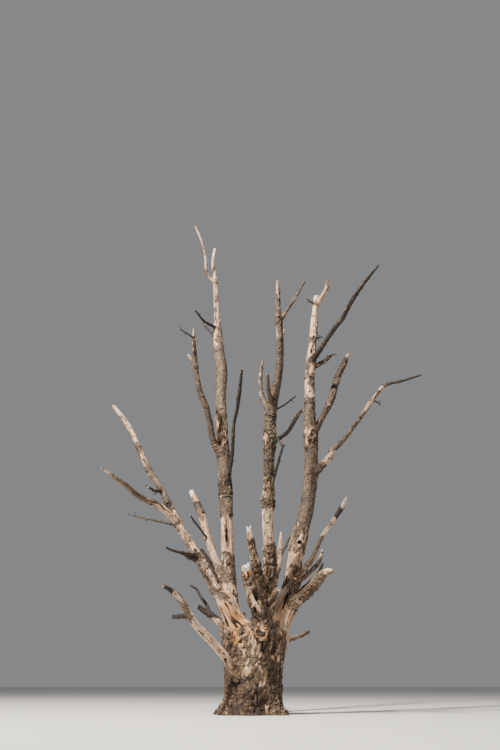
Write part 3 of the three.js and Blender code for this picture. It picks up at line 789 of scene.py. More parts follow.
class Sheet:
    """The points, faces, masks and flat layout of one mesh, gathered from closed skins."""

    sharp = 75.0

    def __init__(self, skins: list[Grids]) -> None:
        """Gather the skins.

        Args:
            skins: The skins.
        """
        self.columns: dict[str, list[Array]] = {name: [] for name in ("points", "place", *MASKS)}
        self.corners: list[Array] = []
        self.starts: list[Array] = []
        self.layout: list[Array] = []
        self.vertices = self.loops = 0
        charts = charts_of(skins)
        self.scale, spots = lay_out(charts)
        for index, skin in enumerate(skins):
            self.gather(skin, {chart: spots[chart] for chart in charts if chart.skin == index})

    def gather(self, skin: Grids, spots: dict[Chart, Pair]) -> None:
        """Add a skin.

        Args:
            skin: The skin.
            spots: Its charts, and where the corner of each lies.
        """
        rows, sides = skin["points"].shape[:2]
        ids = np.empty((rows, sides), np.int64)
        ids[0] = self.vertices
        ids[1:-1] = self.vertices + 1 + np.arange((rows - 2) * sides).reshape(rows - 2, sides)
        ids[-1] = self.vertices + 1 + (rows - 2) * sides
        self.vertices = int(ids[-1, 0]) + 1
        for name, column in self.columns.items():
            column.append(column_of(skin[name]))
        walked = np.concatenate([[0.0], np.cumsum(steps_of(skin["points"]))])
        across = np.arange(sides + 1) / sides
        for chart, (left, low) in spots.items():
            u = left + across * chart.wide * self.scale
            v = low + (walked - walked[chart.start]) * self.scale
            for row in range(chart.start, chart.stop):
                self.band(ids, row, u, v)

    def band(self, ids: Array, row: int, u: Array, v: Array) -> None:
        """Add the faces from one row to the next, triangles at both ends and quads between.

        Args:
            ids: The number of each point.
            row: The first of the two rows.
            u: The flat place of each column.
            v: The flat place of each row.
        """
        here, on = ids[row], ids[row + 1]
        here_on, on_on = np.roll(here, -1), np.roll(on, -1)
        left, right, middle = u[:-1], u[1:], (u[:-1] + u[1:]) / 2
        low, high = v[row], v[row + 1]
        if row == 0:
            face, flat, lift = (here, on_on, on), (middle, right, left), (low, high, high)
        elif row == len(ids) - 2:
            face, flat, lift = (here, here_on, on), (left, right, middle), (low, low, high)
        else:
            face, flat = (here, here_on, on_on, on), (left, right, right, left)
            lift = (low, low, high, high)
        size, sides = len(face), len(here)
        self.starts.append(self.loops + size * np.arange(sides))
        self.corners.append(np.stack(face, 1).ravel())
        self.layout.append(np.stack([np.stack(flat, 1), np.tile(lift, (sides, 1))], -1).ravel())
        self.loops += size * sides

    def values(self, name: str) -> Array:
        """Give what every point has under a name, in one row."""
        return np.concatenate(self.columns[name]).astype(np.float32).ravel()

    def piece(self, name: str) -> bpy.types.Object:
        """Make the mesh object.

        Args:
            name: Its name.

        Returns:
            The object, in the scene.
        """
        mesh = bpy.data.meshes.new(name)
        mesh.vertices.add(self.vertices)
        mesh.vertices.foreach_set("co", self.values("points"))
        mesh.loops.add(self.loops)
        mesh.loops.foreach_set("vertex_index", np.concatenate(self.corners).astype(np.int32))
        starts = np.concatenate(self.starts).astype(np.int32)
        mesh.polygons.add(len(starts))
        mesh.polygons.foreach_set("loop_start", starts)
        mesh.update(calc_edges=True)
        mesh.attributes.new("place", "FLOAT_VECTOR", "POINT").data.foreach_set("vector", self.values("place"))
        for mask in MASKS:
            mesh.attributes.new(mask, "FLOAT", "POINT").data.foreach_set("value", self.values(mask))
        flat = mesh.uv_layers.new(name="OFBake")
        flat.uv.foreach_set("vector", np.concatenate(self.layout).astype(np.float32))
        mesh.shade_smooth()
        mesh.set_sharp_from_angle(angle=math.radians(self.sharp))
        piece = bpy.data.objects.new(name, mesh)
        bpy.context.scene.collection.objects.link(piece)
        return piece


# The rows of a broken end, as shares of its radius, and how far each is sunk
SNAPPED_END = ((0.9, 0.19), (0.72, 0.48), (0.5, 0.75), (0.26, 0.93), (0.0, 1.0))
HOLLOW_END = ((0.84, 0.0), (0.74, 1.2), (0.68, 2.6), (0.6, 3.8), (0.0, 4.2))
END_ROWS = len(SNAPPED_END)


@dataclass
class Tube:
    """A tube of wood round a line, snapped off at its far end."""

    line: Line
    shares: Array
    girth: Array
    sides: int
    seed: int
    jag: float = 0.42
    sink: float = 0.4
    lobe: float = 0.05
    hollow: bool = False
    twist: float = 0.35
    fray: float = 1.7
    fibre: float = 0.2
    spread: float = 40.0

    def skin(self) -> Skin:
        """Lay the grid of the tube and of its broken end.

        Returns:
            The skin, without masks.
        """
        draw, noise = Seeded(7001 + self.seed), Noise(self.seed)
        length, turn = self.line.length, ring_of(self.sides)
        ahead, side, up = self.line.frames(self.shares)
        flat = spokes(turn, side, up)
        walked, girth = (self.shares * length)[:, None], self.girth[:, None]
        grid = np.ones((len(walked), self.sides))
        ring = np.stack([np.cos(turn) * grid, np.sin(turn) * grid, walked * grid], -1)
        lobes = 1 + self.lobe * noise(ring, (1.1, 1.1, 0.22 / float(self.girth.mean())), 2)
        twisted = turn[None] + self.twist * walked
        place = np.stack([girth * np.cos(twisted), girth * np.sin(twisted), walked * grid], -1)
        points = self.line.at(self.shares)[:, None] + flat * (girth * lobes)[..., None]
        end, tip = self.girth[-1], ahead[-1]
        rim = np.stack([np.cos(turn), np.sin(turn), np.full_like(turn, 3.0 * draw())], -1)
        teeth = noise(rim, (1.2, 1.2, 1)) + 0.7 * np.maximum(noise(rim + 9.0, (4.5, 4.5, 1)), 0)
        jags = self.jag * end * np.clip(teeth, -1.0, 1.0)
        late = smoothstep(length - self.fray * end, length, walked)
        points = points + tip * (late * jags[None])[..., None]
        rows, spots = self.broken(jags, lobes[-1], flat[-1], tip, noise)
        root = np.broadcast_to(self.line.at(self.shares[0]), points[:1].shape)
        caps = np.broadcast_to(tip, (END_ROWS, self.sides, 3))
        out = np.concatenate([-np.broadcast_to(ahead[0], flat[:1].shape), flat, caps])
        away = self.spread * np.array([draw(), draw(), draw()])
        place = np.concatenate([place[:1], place, *spots]) + away
        parts = np.array([*(part for part, _ in SNAPPED_END[:-1]), 0.05])
        girth = np.concatenate([self.girth[:1], self.girth, end * parts])
        share = np.concatenate([self.shares[:1], self.shares, np.ones(END_ROWS)])
        return Skin(np.concatenate([root, points, *rows]), out, place, girth, share, length)

    def broken(self, jags: Array, lobes: Array, flat: Array, tip: Array, noise: Noise) -> Rows:
        """Lay the rows of the broken end, from the rim to the middle.

        Args:
            jags: How far the rim stands out at each side.
            lobes: How far each side stands out, in radii.
            flat: The direction out of the line at each side.
            tip: The direction in which the line ends.
            noise: The noise of the fibres.

        Returns:
            The points of each row, and their places.
        """
        end, turn, rows, spots = self.girth[-1], ring_of(self.sides), [], []
        for part, deep in HOLLOW_END if self.hollow else SNAPPED_END:
            reach, height = end * part, self.line.length + 0 * turn
            spot = np.stack([reach * np.cos(turn), reach * np.sin(turn), height], -1)
            fibre = self.fibre * end * noise(spot / end, (5, 5, 1), 2) * part
            lift = jags * part**1.5 - self.sink * end * deep + fibre
            row = self.line.at(1.0) + flat * (reach * lobes)[:, None] + tip * lift[:, None]
            rows.append(row[None])
            spots.append(spot[None])
        return rows, spots


@dataclass
class Weathering:
    """What weather has done to a skin.

    Patterns are cells per metre along x, y and z. Lifts and depths are in metres.
    """

    seed: int
    broad: Stretch = (4, 4, 1.6)
    patch: Stretch = (12, 12, 4.4)
    fleck: Stretch = (29, 29, 16)
    hoop: Stretch = (1.6, 1.6, 8.5)
    ring: Stretch = (2.5, 2.5, 30)
    check: Stretch = (30, 30, 1.6)
    flute: Stretch = (13, 13, 1.1)
    shred: Stretch = (34, 34, 5.5)
    bark_lift: float = 0.005
    edge_lift: float = 0.004
    hoop_lift: float = 0.008
    ring_depth: float = 0.002
    plate_lift: float = 0.003
    scab_lift: float = 0.015
    flute_lift: float = 0.004
    split_depth: float = 0.005
    shred_lift: float = 0.014
    fibre_lift: float = 0.012
    slender: float = 0.06

    def fields(self, looks: Looks, skin: Skin) -> Grids:
        """Spread the looks over a skin, with uneven bounds between them.

        Args:
            looks: The share of the length that each look reaches, and the look.
            skin: The skin.

        Returns:
            The fields of the looks at each point.
        """
        noise, place, length = Noise(900 + self.seed), skin.place, skin.length
        tongues = 0.04 * noise(place, (9, 9, 9), 2) + 0.09 * noise(place + 6.0, (17, 17, 2.2), 2)
        uneven = skin.share[:, None] + tongues / length
        bounds = np.array([bound for bound, _ in looks])[:-1]
        soft = min(0.02 / length, 0.01)
        knots = np.sort(np.concatenate([bounds - soft, bounds + soft])) if len(bounds) else np.zeros(1)
        result = {}
        for item in dataclasses.fields(Weather):
            values = [getattr(WEATHER[look], item.name) for _, look in looks]
            steps = np.repeat(values, 2)[1:-1] if len(bounds) else np.array(values[:1])
            result[item.name] = np.interp(uneven, knots, steps)
        return result

    def turned(self, fields: Grids, look: Look, share: Array) -> Grids:
        """Turn the fields towards another look where the share is high."""
        goal = WEATHER[look]
        return {name: values + (getattr(goal, name) - values) * share for name, values in fields.items()}

    def dress(self, skin: Skin, fields: Grids, end_rows: int = END_ROWS) -> None:
        """Give a skin its masks and its relief.

        Args:
            skin: The skin.
            fields: The fields of the looks at each point.
            end_rows: How many rows at the end are the broken face.
        """
        one, two = Noise(50 + self.seed), Noise(350 + self.seed)
        place, rough, torn = skin.place, fields["rough"], fields["torn"]
        broad, patch = one(place, self.broad, 2), two(place, self.patch, 3)
        fleck = one(place + 5.7, self.fleck, 2)
        level = fields["cover"] - 0.5 + 0.3 * broad + 0.5 * patch + 0.14 * fleck
        bark = smoothstep(-0.04, 0.05, level)
        lift = self.bark_lift * bark + self.edge_lift * hump(level, 0.03, 0.06)
        # broken hoops and fine rings round the bark
        hoop = two(place + 3.1, self.hoop, 2) + 0.12 * fleck
        worn = smoothstep(-0.3, 0.35, one(place + 1.7, (6, 6, 5)))
        lift = lift + self.hoop_lift * bark * worn * hump(hoop, 0, 0.09)
        # the strip beside each raised hoop, which gets painted shade
        under = hump(hoop, -0.15, 0.05) * worn * bark
        ring = smoothstep(0.12, 0.0, np.abs(one(place + 3.1, self.ring, 2)))
        groove = ring * smoothstep(-0.2, 0.5, two(place, (5, 5, 3))) * bark
        lift = lift - self.ring_depth * groove
        # plates and scabs of bark
        plate = smoothstep(-0.25, 0.4, fleck)
        lift = lift + (self.plate_lift + self.scab_lift * rough) * plate * (0.25 + 0.75 * bark)
        gap = smoothstep(0.14, 0.0, np.abs(fleck + 0.16)) * (0.3 + 0.7 * rough) * (0.2 + 0.8 * bark)
        # long checks and flutes of bare wood, and the long fibres of torn wood
        check, shred = one(place + 7.9, self.check, 2), one(place + 4.4, self.shred, 2)
        gate = smoothstep(-0.15, 0.35, two(place + 1.3, (4, 4, 0.9)))
        split = smoothstep(0.13, 0.02, np.abs(check)) * gate * (1 - bark)
        flute = two(place + 2.2, self.flute, 2)
        lift = lift + (1 - bark) * self.flute_lift * flute - self.split_depth * split
        lift = lift + torn * (self.shred_lift * shred + self.fibre_lift * np.maximum(check, 0))
        # painted shade: in the ring grooves, beside the raised hoops, in the gaps between plates, in the
        # splits, beside the raised edge of the bark and between the torn fibres
        crack = 0.55 * groove + 0.75 * under + 0.85 * gap + 0.9 * split
        crack = crack + 0.6 * hump(level, -0.03, 0.035) + torn * smoothstep(-0.05, -0.5, shred)
        face = np.zeros((len(place), 1))
        face[len(face) - end_rows :] = 1.0
        dark = fields["dark"] + 0.3 * rough * smoothstep(0.1, -0.5, fleck)
        pale = fields["pale"] * smoothstep(-0.9, 0.4, two(place + 8.8, (9, 9, 2.2), 2))
        skin.masks = {
            "bark": bark * (1 - face),
            "rough": rough * (1 - face),
            "pale": np.maximum(pale, 0.4 * face),
            "dark": np.clip(dark * (1 - 0.6 * face), 0, 1),
            "torn": np.clip(torn * (0.75 + 0.6 * broad + 0.35 * patch), 0, 1),
            "crack": np.clip(crack, 0, 1) * (1 - 0.5 * face),
        }
        skin.lift = lift * np.minimum(1.0, skin.girth / self.slender)[:, None] * (1 - face)


def fillet(away: Array, blend: float) -> Array:
    """Give how far a surface swells where another one lies nearer than the blend."""
    share = np.clip(away / blend, 0.25, 1.0)
    return blend * (1 - np.sqrt(share)) ** 2


@dataclass(frozen=True)
class Joining:
    """How a surface is grown together with those near it, with painted shade in the crease between them."""

    calm: float
    crease: float
    crease_wide: float

    def join(self, skin: Skin, near: list[tuple[Array, float]]) -> None:
        """Swell a skin towards the surfaces near it, calm its relief there, and paint shade into the crease
        between them.

        Args:
            skin: The skin.
            near: How far the points stand outside each surface, and how wide its hollow is.
        """
        push = np.zeros_like(skin.lift)
        for away, blend in near:
            push = np.maximum(push, fillet(away, blend))
            calm = self.calm + (1 - self.calm) * smoothstep(-0.01, 0.5 * blend, away)
            skin.lift = skin.lift * calm
            # painted shade, darker the nearer the crease between the two surfaces
            skin.darken(slice(None), self.crease * smoothstep(self.crease_wide * blend, 0.0, away))
        skin.lift = skin.lift + push


def clearance(point: Array, others: list[tuple[Array, Array]]) -> float:
    """Give the distance from a point to the nearest of some limbs, read at spots along them."""
    return min(float((np.linalg.norm(spots - point, axis=1) - radius).min()) for spots, radius in others)


@dataclass
class Branch:
    """A limb from where it leaves its parent to its snapped end, with all that grows on it."""

    limb: Limb
    order: int
    line: Line
    parent: Branch | None
    collar: float = 0.22
    shoulder_gain: float = 0.95
    spike_clear: float = 0.03
    hidden: float = 0.03
    wide_jag: float = 0.8
    # the last two numbers are the strength and the width of the painted shade in the crease
    joining: Joining = Joining(0.45, 0.5, 0.3)
    side_twig_count: int = 3
    side_lean: float = 48.0
    side_reach: Pair = (0.055, 0.105)
    spur_lean: Pair = (45, 80)
    spur_reach: Pair = (0.008, 0.04)
    spur_wide: Pair = (0.007, 0.016)
    spur_sides: int = 7
    knot_size: Pair = (0.012, 0.034)
    hollow_knots: float = 0.38

    def thickness(self, share: Array | float) -> Array:
        """Give the radius, with the collar and the knuckles.

        Args:
            share: Shares of the length.

        Returns:
            The radius at each share.
        """
        limb = self.limb
        runs = [leg[0] for leg in limb.legs]
        total = sum(runs)
        walked = np.asarray(share) * total
        thick = np.interp(walked, np.cumsum([0, *runs]), [limb.thick, *(leg[3] for leg in limb.legs)])
        swell = 1 + self.collar * hump(walked, 0, 2 * limb.thick)
        for at, gain in limb.knuckles:
            swell = swell + gain * hump((np.asarray(share) - at) * total, 0, limb.thick)
        return thick / 2 * swell * MM

    @property
    def shoulder(self) -> float:
        """The share of the length up to which the trunk's shoulder rises round the limb.

        Returns:
            The share, or 0 where the limb has no shoulder.
        """
        if self.parent is not None or self.limb.thick < SHOULDER_THICK:
            return 0.0
        shares = np.linspace(0, 1, 4001)
        return float(shares[np.argmax(self.line.at(shares)[:, 2] >= SHOULDER_TOP)])

    def girth(self, share: Array | float) -> Array:
        """Give the radius, with the trunk's shoulder, or slimmer near the parent.

        Args:
            share: Shares of the length.

        Returns:
            The radius at each share.
        """
        share = np.asarray(share)
        radius, end = self.thickness(share), self.shoulder
        if end:
            low = 1.05 + self.shoulder_gain * np.maximum(1 - share / end, 0) ** 2
            high = 1 + 0.05 * hump((share - end) * self.line.length, 0, 0.12)
            return radius * np.where(share < end, low, high)
        if self.parent is not None:
            widest = 0.75 * self.parent.thickness(self.limb.at)
            near = hump(share * self.line.length, 0, max(float(widest), 0.01))
            radius = radius * (1 - near) + np.minimum(radius, widest) * near
        return radius

    def beyond(self, points: Array, low: float = 0.0, high: float = 1.0, reach: float = 0.2) -> Array:
        """Give how far points stand outside the limb.

        Args:
            points: The points, in any grid.
            low: Where the limb is taken to start, as a share of its length.
            high: Where it is taken to end.
            reach: The distance beyond which it needn't be exact.

        Returns:
            The distance at each point, below 0 inside it.
        """
        step, batch = 0.012, 4000
        flat = points.reshape(-1, 3)
        shares = np.linspace(low, high, max(2, int((high - low) * self.line.length / step)))
        middle, girth = self.line.at(shares), self.girth(shares)
        margin = girth.max() + reach
        near = np.all((flat > middle.min(0) - margin) & (flat < middle.max(0) + margin), 1)
        result = np.full(len(flat), FAR)
        spots = np.flatnonzero(near)
        for start in range(0, len(spots), batch):
            some = spots[start : start + batch]
            away = np.linalg.norm(flat[some, None] - middle[None], axis=2) - girth[None]
            result[some] = away.min(1)
        return result.reshape(points.shape[:-1])

    def looks(self) -> Looks:
        """Give the looks of the limb's stretches."""
        return LOOKS.get(self.limb.name, ((1, PLAIN_LOOK[self.limb.finish]),))

    def start(self, carrier: Carrier) -> float:
        """Find the share of the length at which the limb begins to show.

        Args:
            carrier: What the limb grows from.

        Returns:
            A share just below the one where it stands out of the carrier.
        """
        longest, tries, sides = 1.2, 90, 12
        shares = np.linspace(0, min(1.0, longest / self.line.length), tries)
        _, side, up = self.line.frames(shares)
        flat = spokes(ring_of(sides), side, up)
        points = self.line.at(shares)[:, None] + flat * self.girth(shares)[:, None, None]
        shows = carrier.beyond(points).max(1) > -self.hidden
        return float(shares[max(int(np.argmax(shows)) - 1, 0)]) if shows.any() else 0.0

    def tube(self, carrier: Carrier) -> Tube:
        """Lay the limb's tube, from inside its carrier to its end.

        Args:
            carrier: What the limb grows from.

        Returns:
            The tube.
        """
        fineness, start = FINENESS[self.limb.kind], self.start(carrier)
        rows = max(8, round((1 - start) * self.line.length / fineness.spacing))
        shares = np.linspace(start, 1, rows)
        tube = Tube(self.line, shares, self.girth(shares), fineness.sides, self.order)
        tube.hollow = self.limb.name in HOLLOW
        if tube.hollow or self.looks()[-1][1] is Look.WHITE:
            tube.jag = self.wide_jag
        return tube

    def skin(self, carrier: Carrier, neighbours: list[tuple[Carrier, float]]) -> Grids:
        """Make the skin of the limb.

        Args:
            carrier: What the limb grows from.
            neighbours: Each surface that it is grown together with, and how wide their hollow is.

        Returns:
            The whole skin.
        """
        tube, weathering = self.tube(carrier), Weathering(self.order)
        skin = tube.skin()
        fields = weathering.fields(self.looks(), skin)
        uneven = 0.05 * Noise(self.order)(skin.place, (9, 9, 5), 2)
        near = [(other.beyond(skin.points, reach=0.25), blend) for other, blend in neighbours]
        for (other, blend), (away, _) in zip(neighbours, near):
            if isinstance(other, Bole):
                look = Look.TORN if self.limb.name in TORN_FEET else Look.WORN
                worn = 0.7 * smoothstep(0.16, 0.02, away + uneven)
            else:
                look, most = (Look.WORN, 0.5) if other.shoulder else (Look.ROUGH, 0.85)
                worn = most * smoothstep(0.45 * blend + 0.02, 0.0, away + 0.5 * uneven)
            fields = weathering.turned(fields, look, worn)
        weathering.dress(skin, fields)
        if tube.hollow:
            self.dress_hollow(skin)
        self.mark(skin)
        self.joining.join(skin, near)
        return skin.finished()

    def dress_hollow(self, skin: Skin) -> None:
        """Dress the inside of a hollow end, with painted shade that deepens the deeper it lies."""
        skin.masks["pale"][-END_ROWS:], skin.masks["torn"][-END_ROWS:] = 0.2, 0.7
        skin.masks["crack"][-END_ROWS:] = np.array([0.2, 0.6, 0.9, 1.0, 1.0])[:, None] * 0.95

    def mark(self, skin: Skin) -> None:
        """Add the scars, holes and knots.

        Args:
            skin: The skin.
        """
        noise = Noise(77 + self.order)
        for mark in MARKS.get(self.limb.name, ()):
            if mark.all_round:
                some, far, worn = self.hoop(mark, skin, noise)
            else:
                some, far = self.around(mark, skin)
                far, worn = far + 0.25 * noise(skin.place[some], (30, 30, 14), 2), 1.0
            lip = mark.lip * (worn * hump(far, 1.25, 0.3))
            skin.lift[some] += lip - worn * mark.deep * smoothstep(1.1, 0.35, far)
            # painted shade in the hole or groove of the mark
            hole = worn * smoothstep(1.15, 0.75, far) * (0.72 if mark.all_round else 1.0)
            skin.raise_mask("crack", some, hole)
            skin.raise_mask("dark", some, 0.5 * smoothstep(1.7, 1.1, far))
        self.knots(skin, noise)

    def around(self, mark: Mark, skin: Skin) -> tuple[slice, Array]:
        """Measure how far the points near a mark lie from it.

        Args:
            mark: The mark.
            skin: The skin.

        Returns:
            The rows near it, and how far their points lie from it, in its sizes.
        """
        walked, centre, reach = skin.walked, mark.share * skin.length, 2.6 * mark.long
        first, last = np.searchsorted(walked, (centre - reach, centre + reach))
        some = slice(int(first), max(int(last), int(first) + 1))
        turn = turned_from(ring_of(skin.lift.shape[1]), math.radians(mark.heading))
        flat = turn[None] * skin.girth[some, None] / mark.wide
        return some, np.hypot(flat, (walked[some, None] - centre) / mark.long)

    def hoop(self, mark: Mark, skin: Skin, noise: Noise) -> tuple[slice, Array, Array]:
        """Measure a ring all round, which rises and falls and is worn away in places.

        Args:
            mark: The ring.
            skin: The skin.
            noise: The noise of its edge.

        Returns:
            The rows near it, how far their points lie from it, in its sizes, and how much of
            it is left.
        """
        near, walked, centre = 30, skin.walked, mark.share * skin.length
        row = int(np.interp(centre, walked, np.arange(len(walked))))
        some = slice(max(row - near, 1), row + near + 1)
        place = skin.place[some]
        ragged = noise(place + mark.share, (22, 22, 12), 2)
        rise = 0.03 * noise(place * (1, 1, 0) + mark.share, (7, 7, 1), 2)
        far = np.abs(walked[some, None] - centre + rise) / mark.long
        worn = smoothstep(-0.3, 0.25, noise(place * (1, 1, 0.2), (9, 9, 9)))
        return some, far + 0.7 * ragged, worn

    def knots(self, skin: Skin, noise: Noise) -> None:
        """Scatter knots over a skin, some of them hollow.

        Args:
            skin: The skin.
            noise: The noise of their edges.
        """
        draw = Seeded(4000 + self.order)
        for _ in range(round(FINENESS[self.limb.kind].knots * self.line.length)):
            share, heading = draw.between(0.06, 0.97), 360 * draw()
            size = min(draw.between(*self.knot_size), 0.4 * float(self.thickness(share)))
            tall, chance = draw.between(0.25, 0.6), draw()
            long, wide = size * draw.between(0.7, 1.3), size * draw.between(0.8, 1.5)
            knot = Mark(share, heading, long, wide, size * 0.7, size * tall)
            some, far = self.around(knot, skin)
            skin.lift[some] += knot.lip * np.exp(-(far**2) / 1.3)
            far = far + 0.5 * noise(skin.place[some] + 4.0, (34, 34, 34), 2)
            if chance > 1 - self.hollow_knots:
                skin.lift[some] -= knot.deep * hump(np.maximum(far, 0), 0, 0.42)
                # painted shade inside the hollow knot
                skin.raise_mask("crack", some, 0.85 * smoothstep(0.6, 0.15, far))
            skin.darken(some, 0.6 * hump(far, 1.1, 0.3))

    def growths(self, others: list[tuple[Array, Array]]) -> list[Grids]:
        """Make the snags or side twigs of the limb, as its solids have them.

        Args:
            others: Spots along every other limb, and the radius at each.

        Returns:
            The skin of each.
        """
        draw, twig = Seeded(self.order), self.limb.kind is Kind.TWIG
        spikes = self.side_twigs(draw) if twig else []
        for share, lean, heading, reach, wide in self.limb.snags:
            long = float(self.thickness(share)) + reach * MM
            spikes.append(Spike(self.line.at(share), direction(lean, heading), long, wide * MM))
        look, first, skins = PLAIN_LOOK[self.limb.finish], 100 * self.order, []
        kept = [spike for spike in spikes if clearance(spike.end, others) > self.spike_clear]
        for index, spike in enumerate(kept):
            skins.append(spike.skin(first + index, look))
            if twig:
                skins += [one.skin(first + 10 * index + n, look) for n, one in enumerate(spike.finer(draw))]
        return skins

    def side_twigs(self, draw: Seeded) -> list[Spike]:
        """Grow the side twigs of a twig, each further on and turned further round it.

        Args:
            draw: The row of seeded numbers.

        Returns:
            The side twigs.
        """
        turn, lean, spikes = 2 * math.pi * draw(), math.radians(self.side_lean), []
        for i in range(self.side_twig_count):
            share = (i + 1 + draw() / 2) / (self.side_twig_count + 1)
            ahead = self.line.ahead(share)
            across = aside(ahead, np.cross([0, 0, 1], ahead), turn)
            way = ahead * math.cos(lean) + across * math.sin(lean)
            long = draw.between(*self.side_reach)
            spikes.append(Spike(self.line.at(share), way, long, float(self.thickness(share))))
            turn += GOLDEN_TURN
        return spikes

    def spurs(self) -> list[Grids]:
        """Make the short broken spurs that are scattered over the limb.

        Returns:
            A skin for each.
        """
        draw, skins = Seeded(9000 + self.order), []
        for index in range(round(FINENESS[self.limb.kind].spurs * self.line.length)):
            share, turn = draw.between(0.15, 0.97), 2 * math.pi * draw()
            lean, reach = math.radians(draw.between(*self.spur_lean)), draw.between(*self.spur_reach)
            ahead = self.line.ahead(share)
            across = aside(ahead, np.cross(ahead, [0.3, 0.2, 1]), turn)
            way = ahead * math.cos(lean) + across * math.sin(lean)
            radius = float(self.thickness(share))
            wide = min(draw.between(*self.spur_wide), 0.8 * radius)
            spur = Spike(self.line.at(share), way, radius / math.sin(lean) + reach, wide)
            skins.append(spur.skin(8000 + 50 * self.order + index, Look.DARK, self.spur_sides))
        return skins


@dataclass
class Spike:
    """A snag, spur or side twig, rooted on a middle line."""

    root: Array
    way: Array
    long: float
    wide: float
    tip: float = 0.3
    spacing: float = 0.008
    jag: float = 0.5
    sink: float = 0.3
    lobe: float = 0.1
    finer_shares: Pair = (0.45, 0.75)
    finer_reach: Pair = (0.35, 0.5)

    @property
    def end(self) -> Array:
        """The point at the tip."""
        return self.root + self.long * self.way

    def skin(self, seed: int, look: Look, sides: int = 12) -> Grids:
        """Make the skin, a little bent, with an uneven tip.

        Args:
            seed: The seed of its bend and its grain.
            look: How it has weathered.
            sides: The points in a row.

        Returns:
            The skin.
        """
        draw = Seeded(seed)
        across = unit(np.cross(self.way, [draw() - 0.5, draw() - 0.5, 1.0]))
        bend = across * self.long * draw.between(-0.05, 0.05)
        line = Line([self.root, self.root + 0.5 * self.long * self.way + bend, self.end], 12)
        shares = np.linspace(0.12, 1, max(6, round(self.long / self.spacing)))
        along = np.stack([shares * 0, shares * 0, shares * self.long], -1)
        girth = self.wide * (0.5 + (self.tip - 0.5) * shares)
        girth = girth * (1 + 0.12 * Noise(seed)(along, (1, 1, 40)))
        skin = Tube(line, shares, girth, sides, seed, self.jag, self.sink, self.lobe).skin()
        weathering = Weathering(seed)
        weathering.dress(skin, weathering.fields(((1, look),), skin))
        skin.lift = 0.6 * skin.lift
        return skin.finished()

    def finer(self, draw: Seeded) -> list[Spike]:
        """Grow finer twigs from a side twig, by the rule that it grew by itself.

        Args:
            draw: The row of seeded numbers.

        Returns:
            The finer twigs.
        """
        turn, twigs = 2 * math.pi * draw(), []
        for share in self.finer_shares:
            across = aside(self.way, np.cross([0.1, 0.2, 1], self.way), turn)
            way = unit(0.75 * self.way + 0.66 * across)
            root = self.root + share * self.long * self.way
            twigs.append(Spike(root, way, self.long * draw.between(*self.finer_reach), 0.5 * self.wide))
            turn += GOLDEN_TURN
        return twigs


@dataclass(frozen=True)
class Spot:
    """A patch of the foot that has weathered another way than the rest."""

    heading: float
    height: float
    wide: float
    tall: float
    look: Look


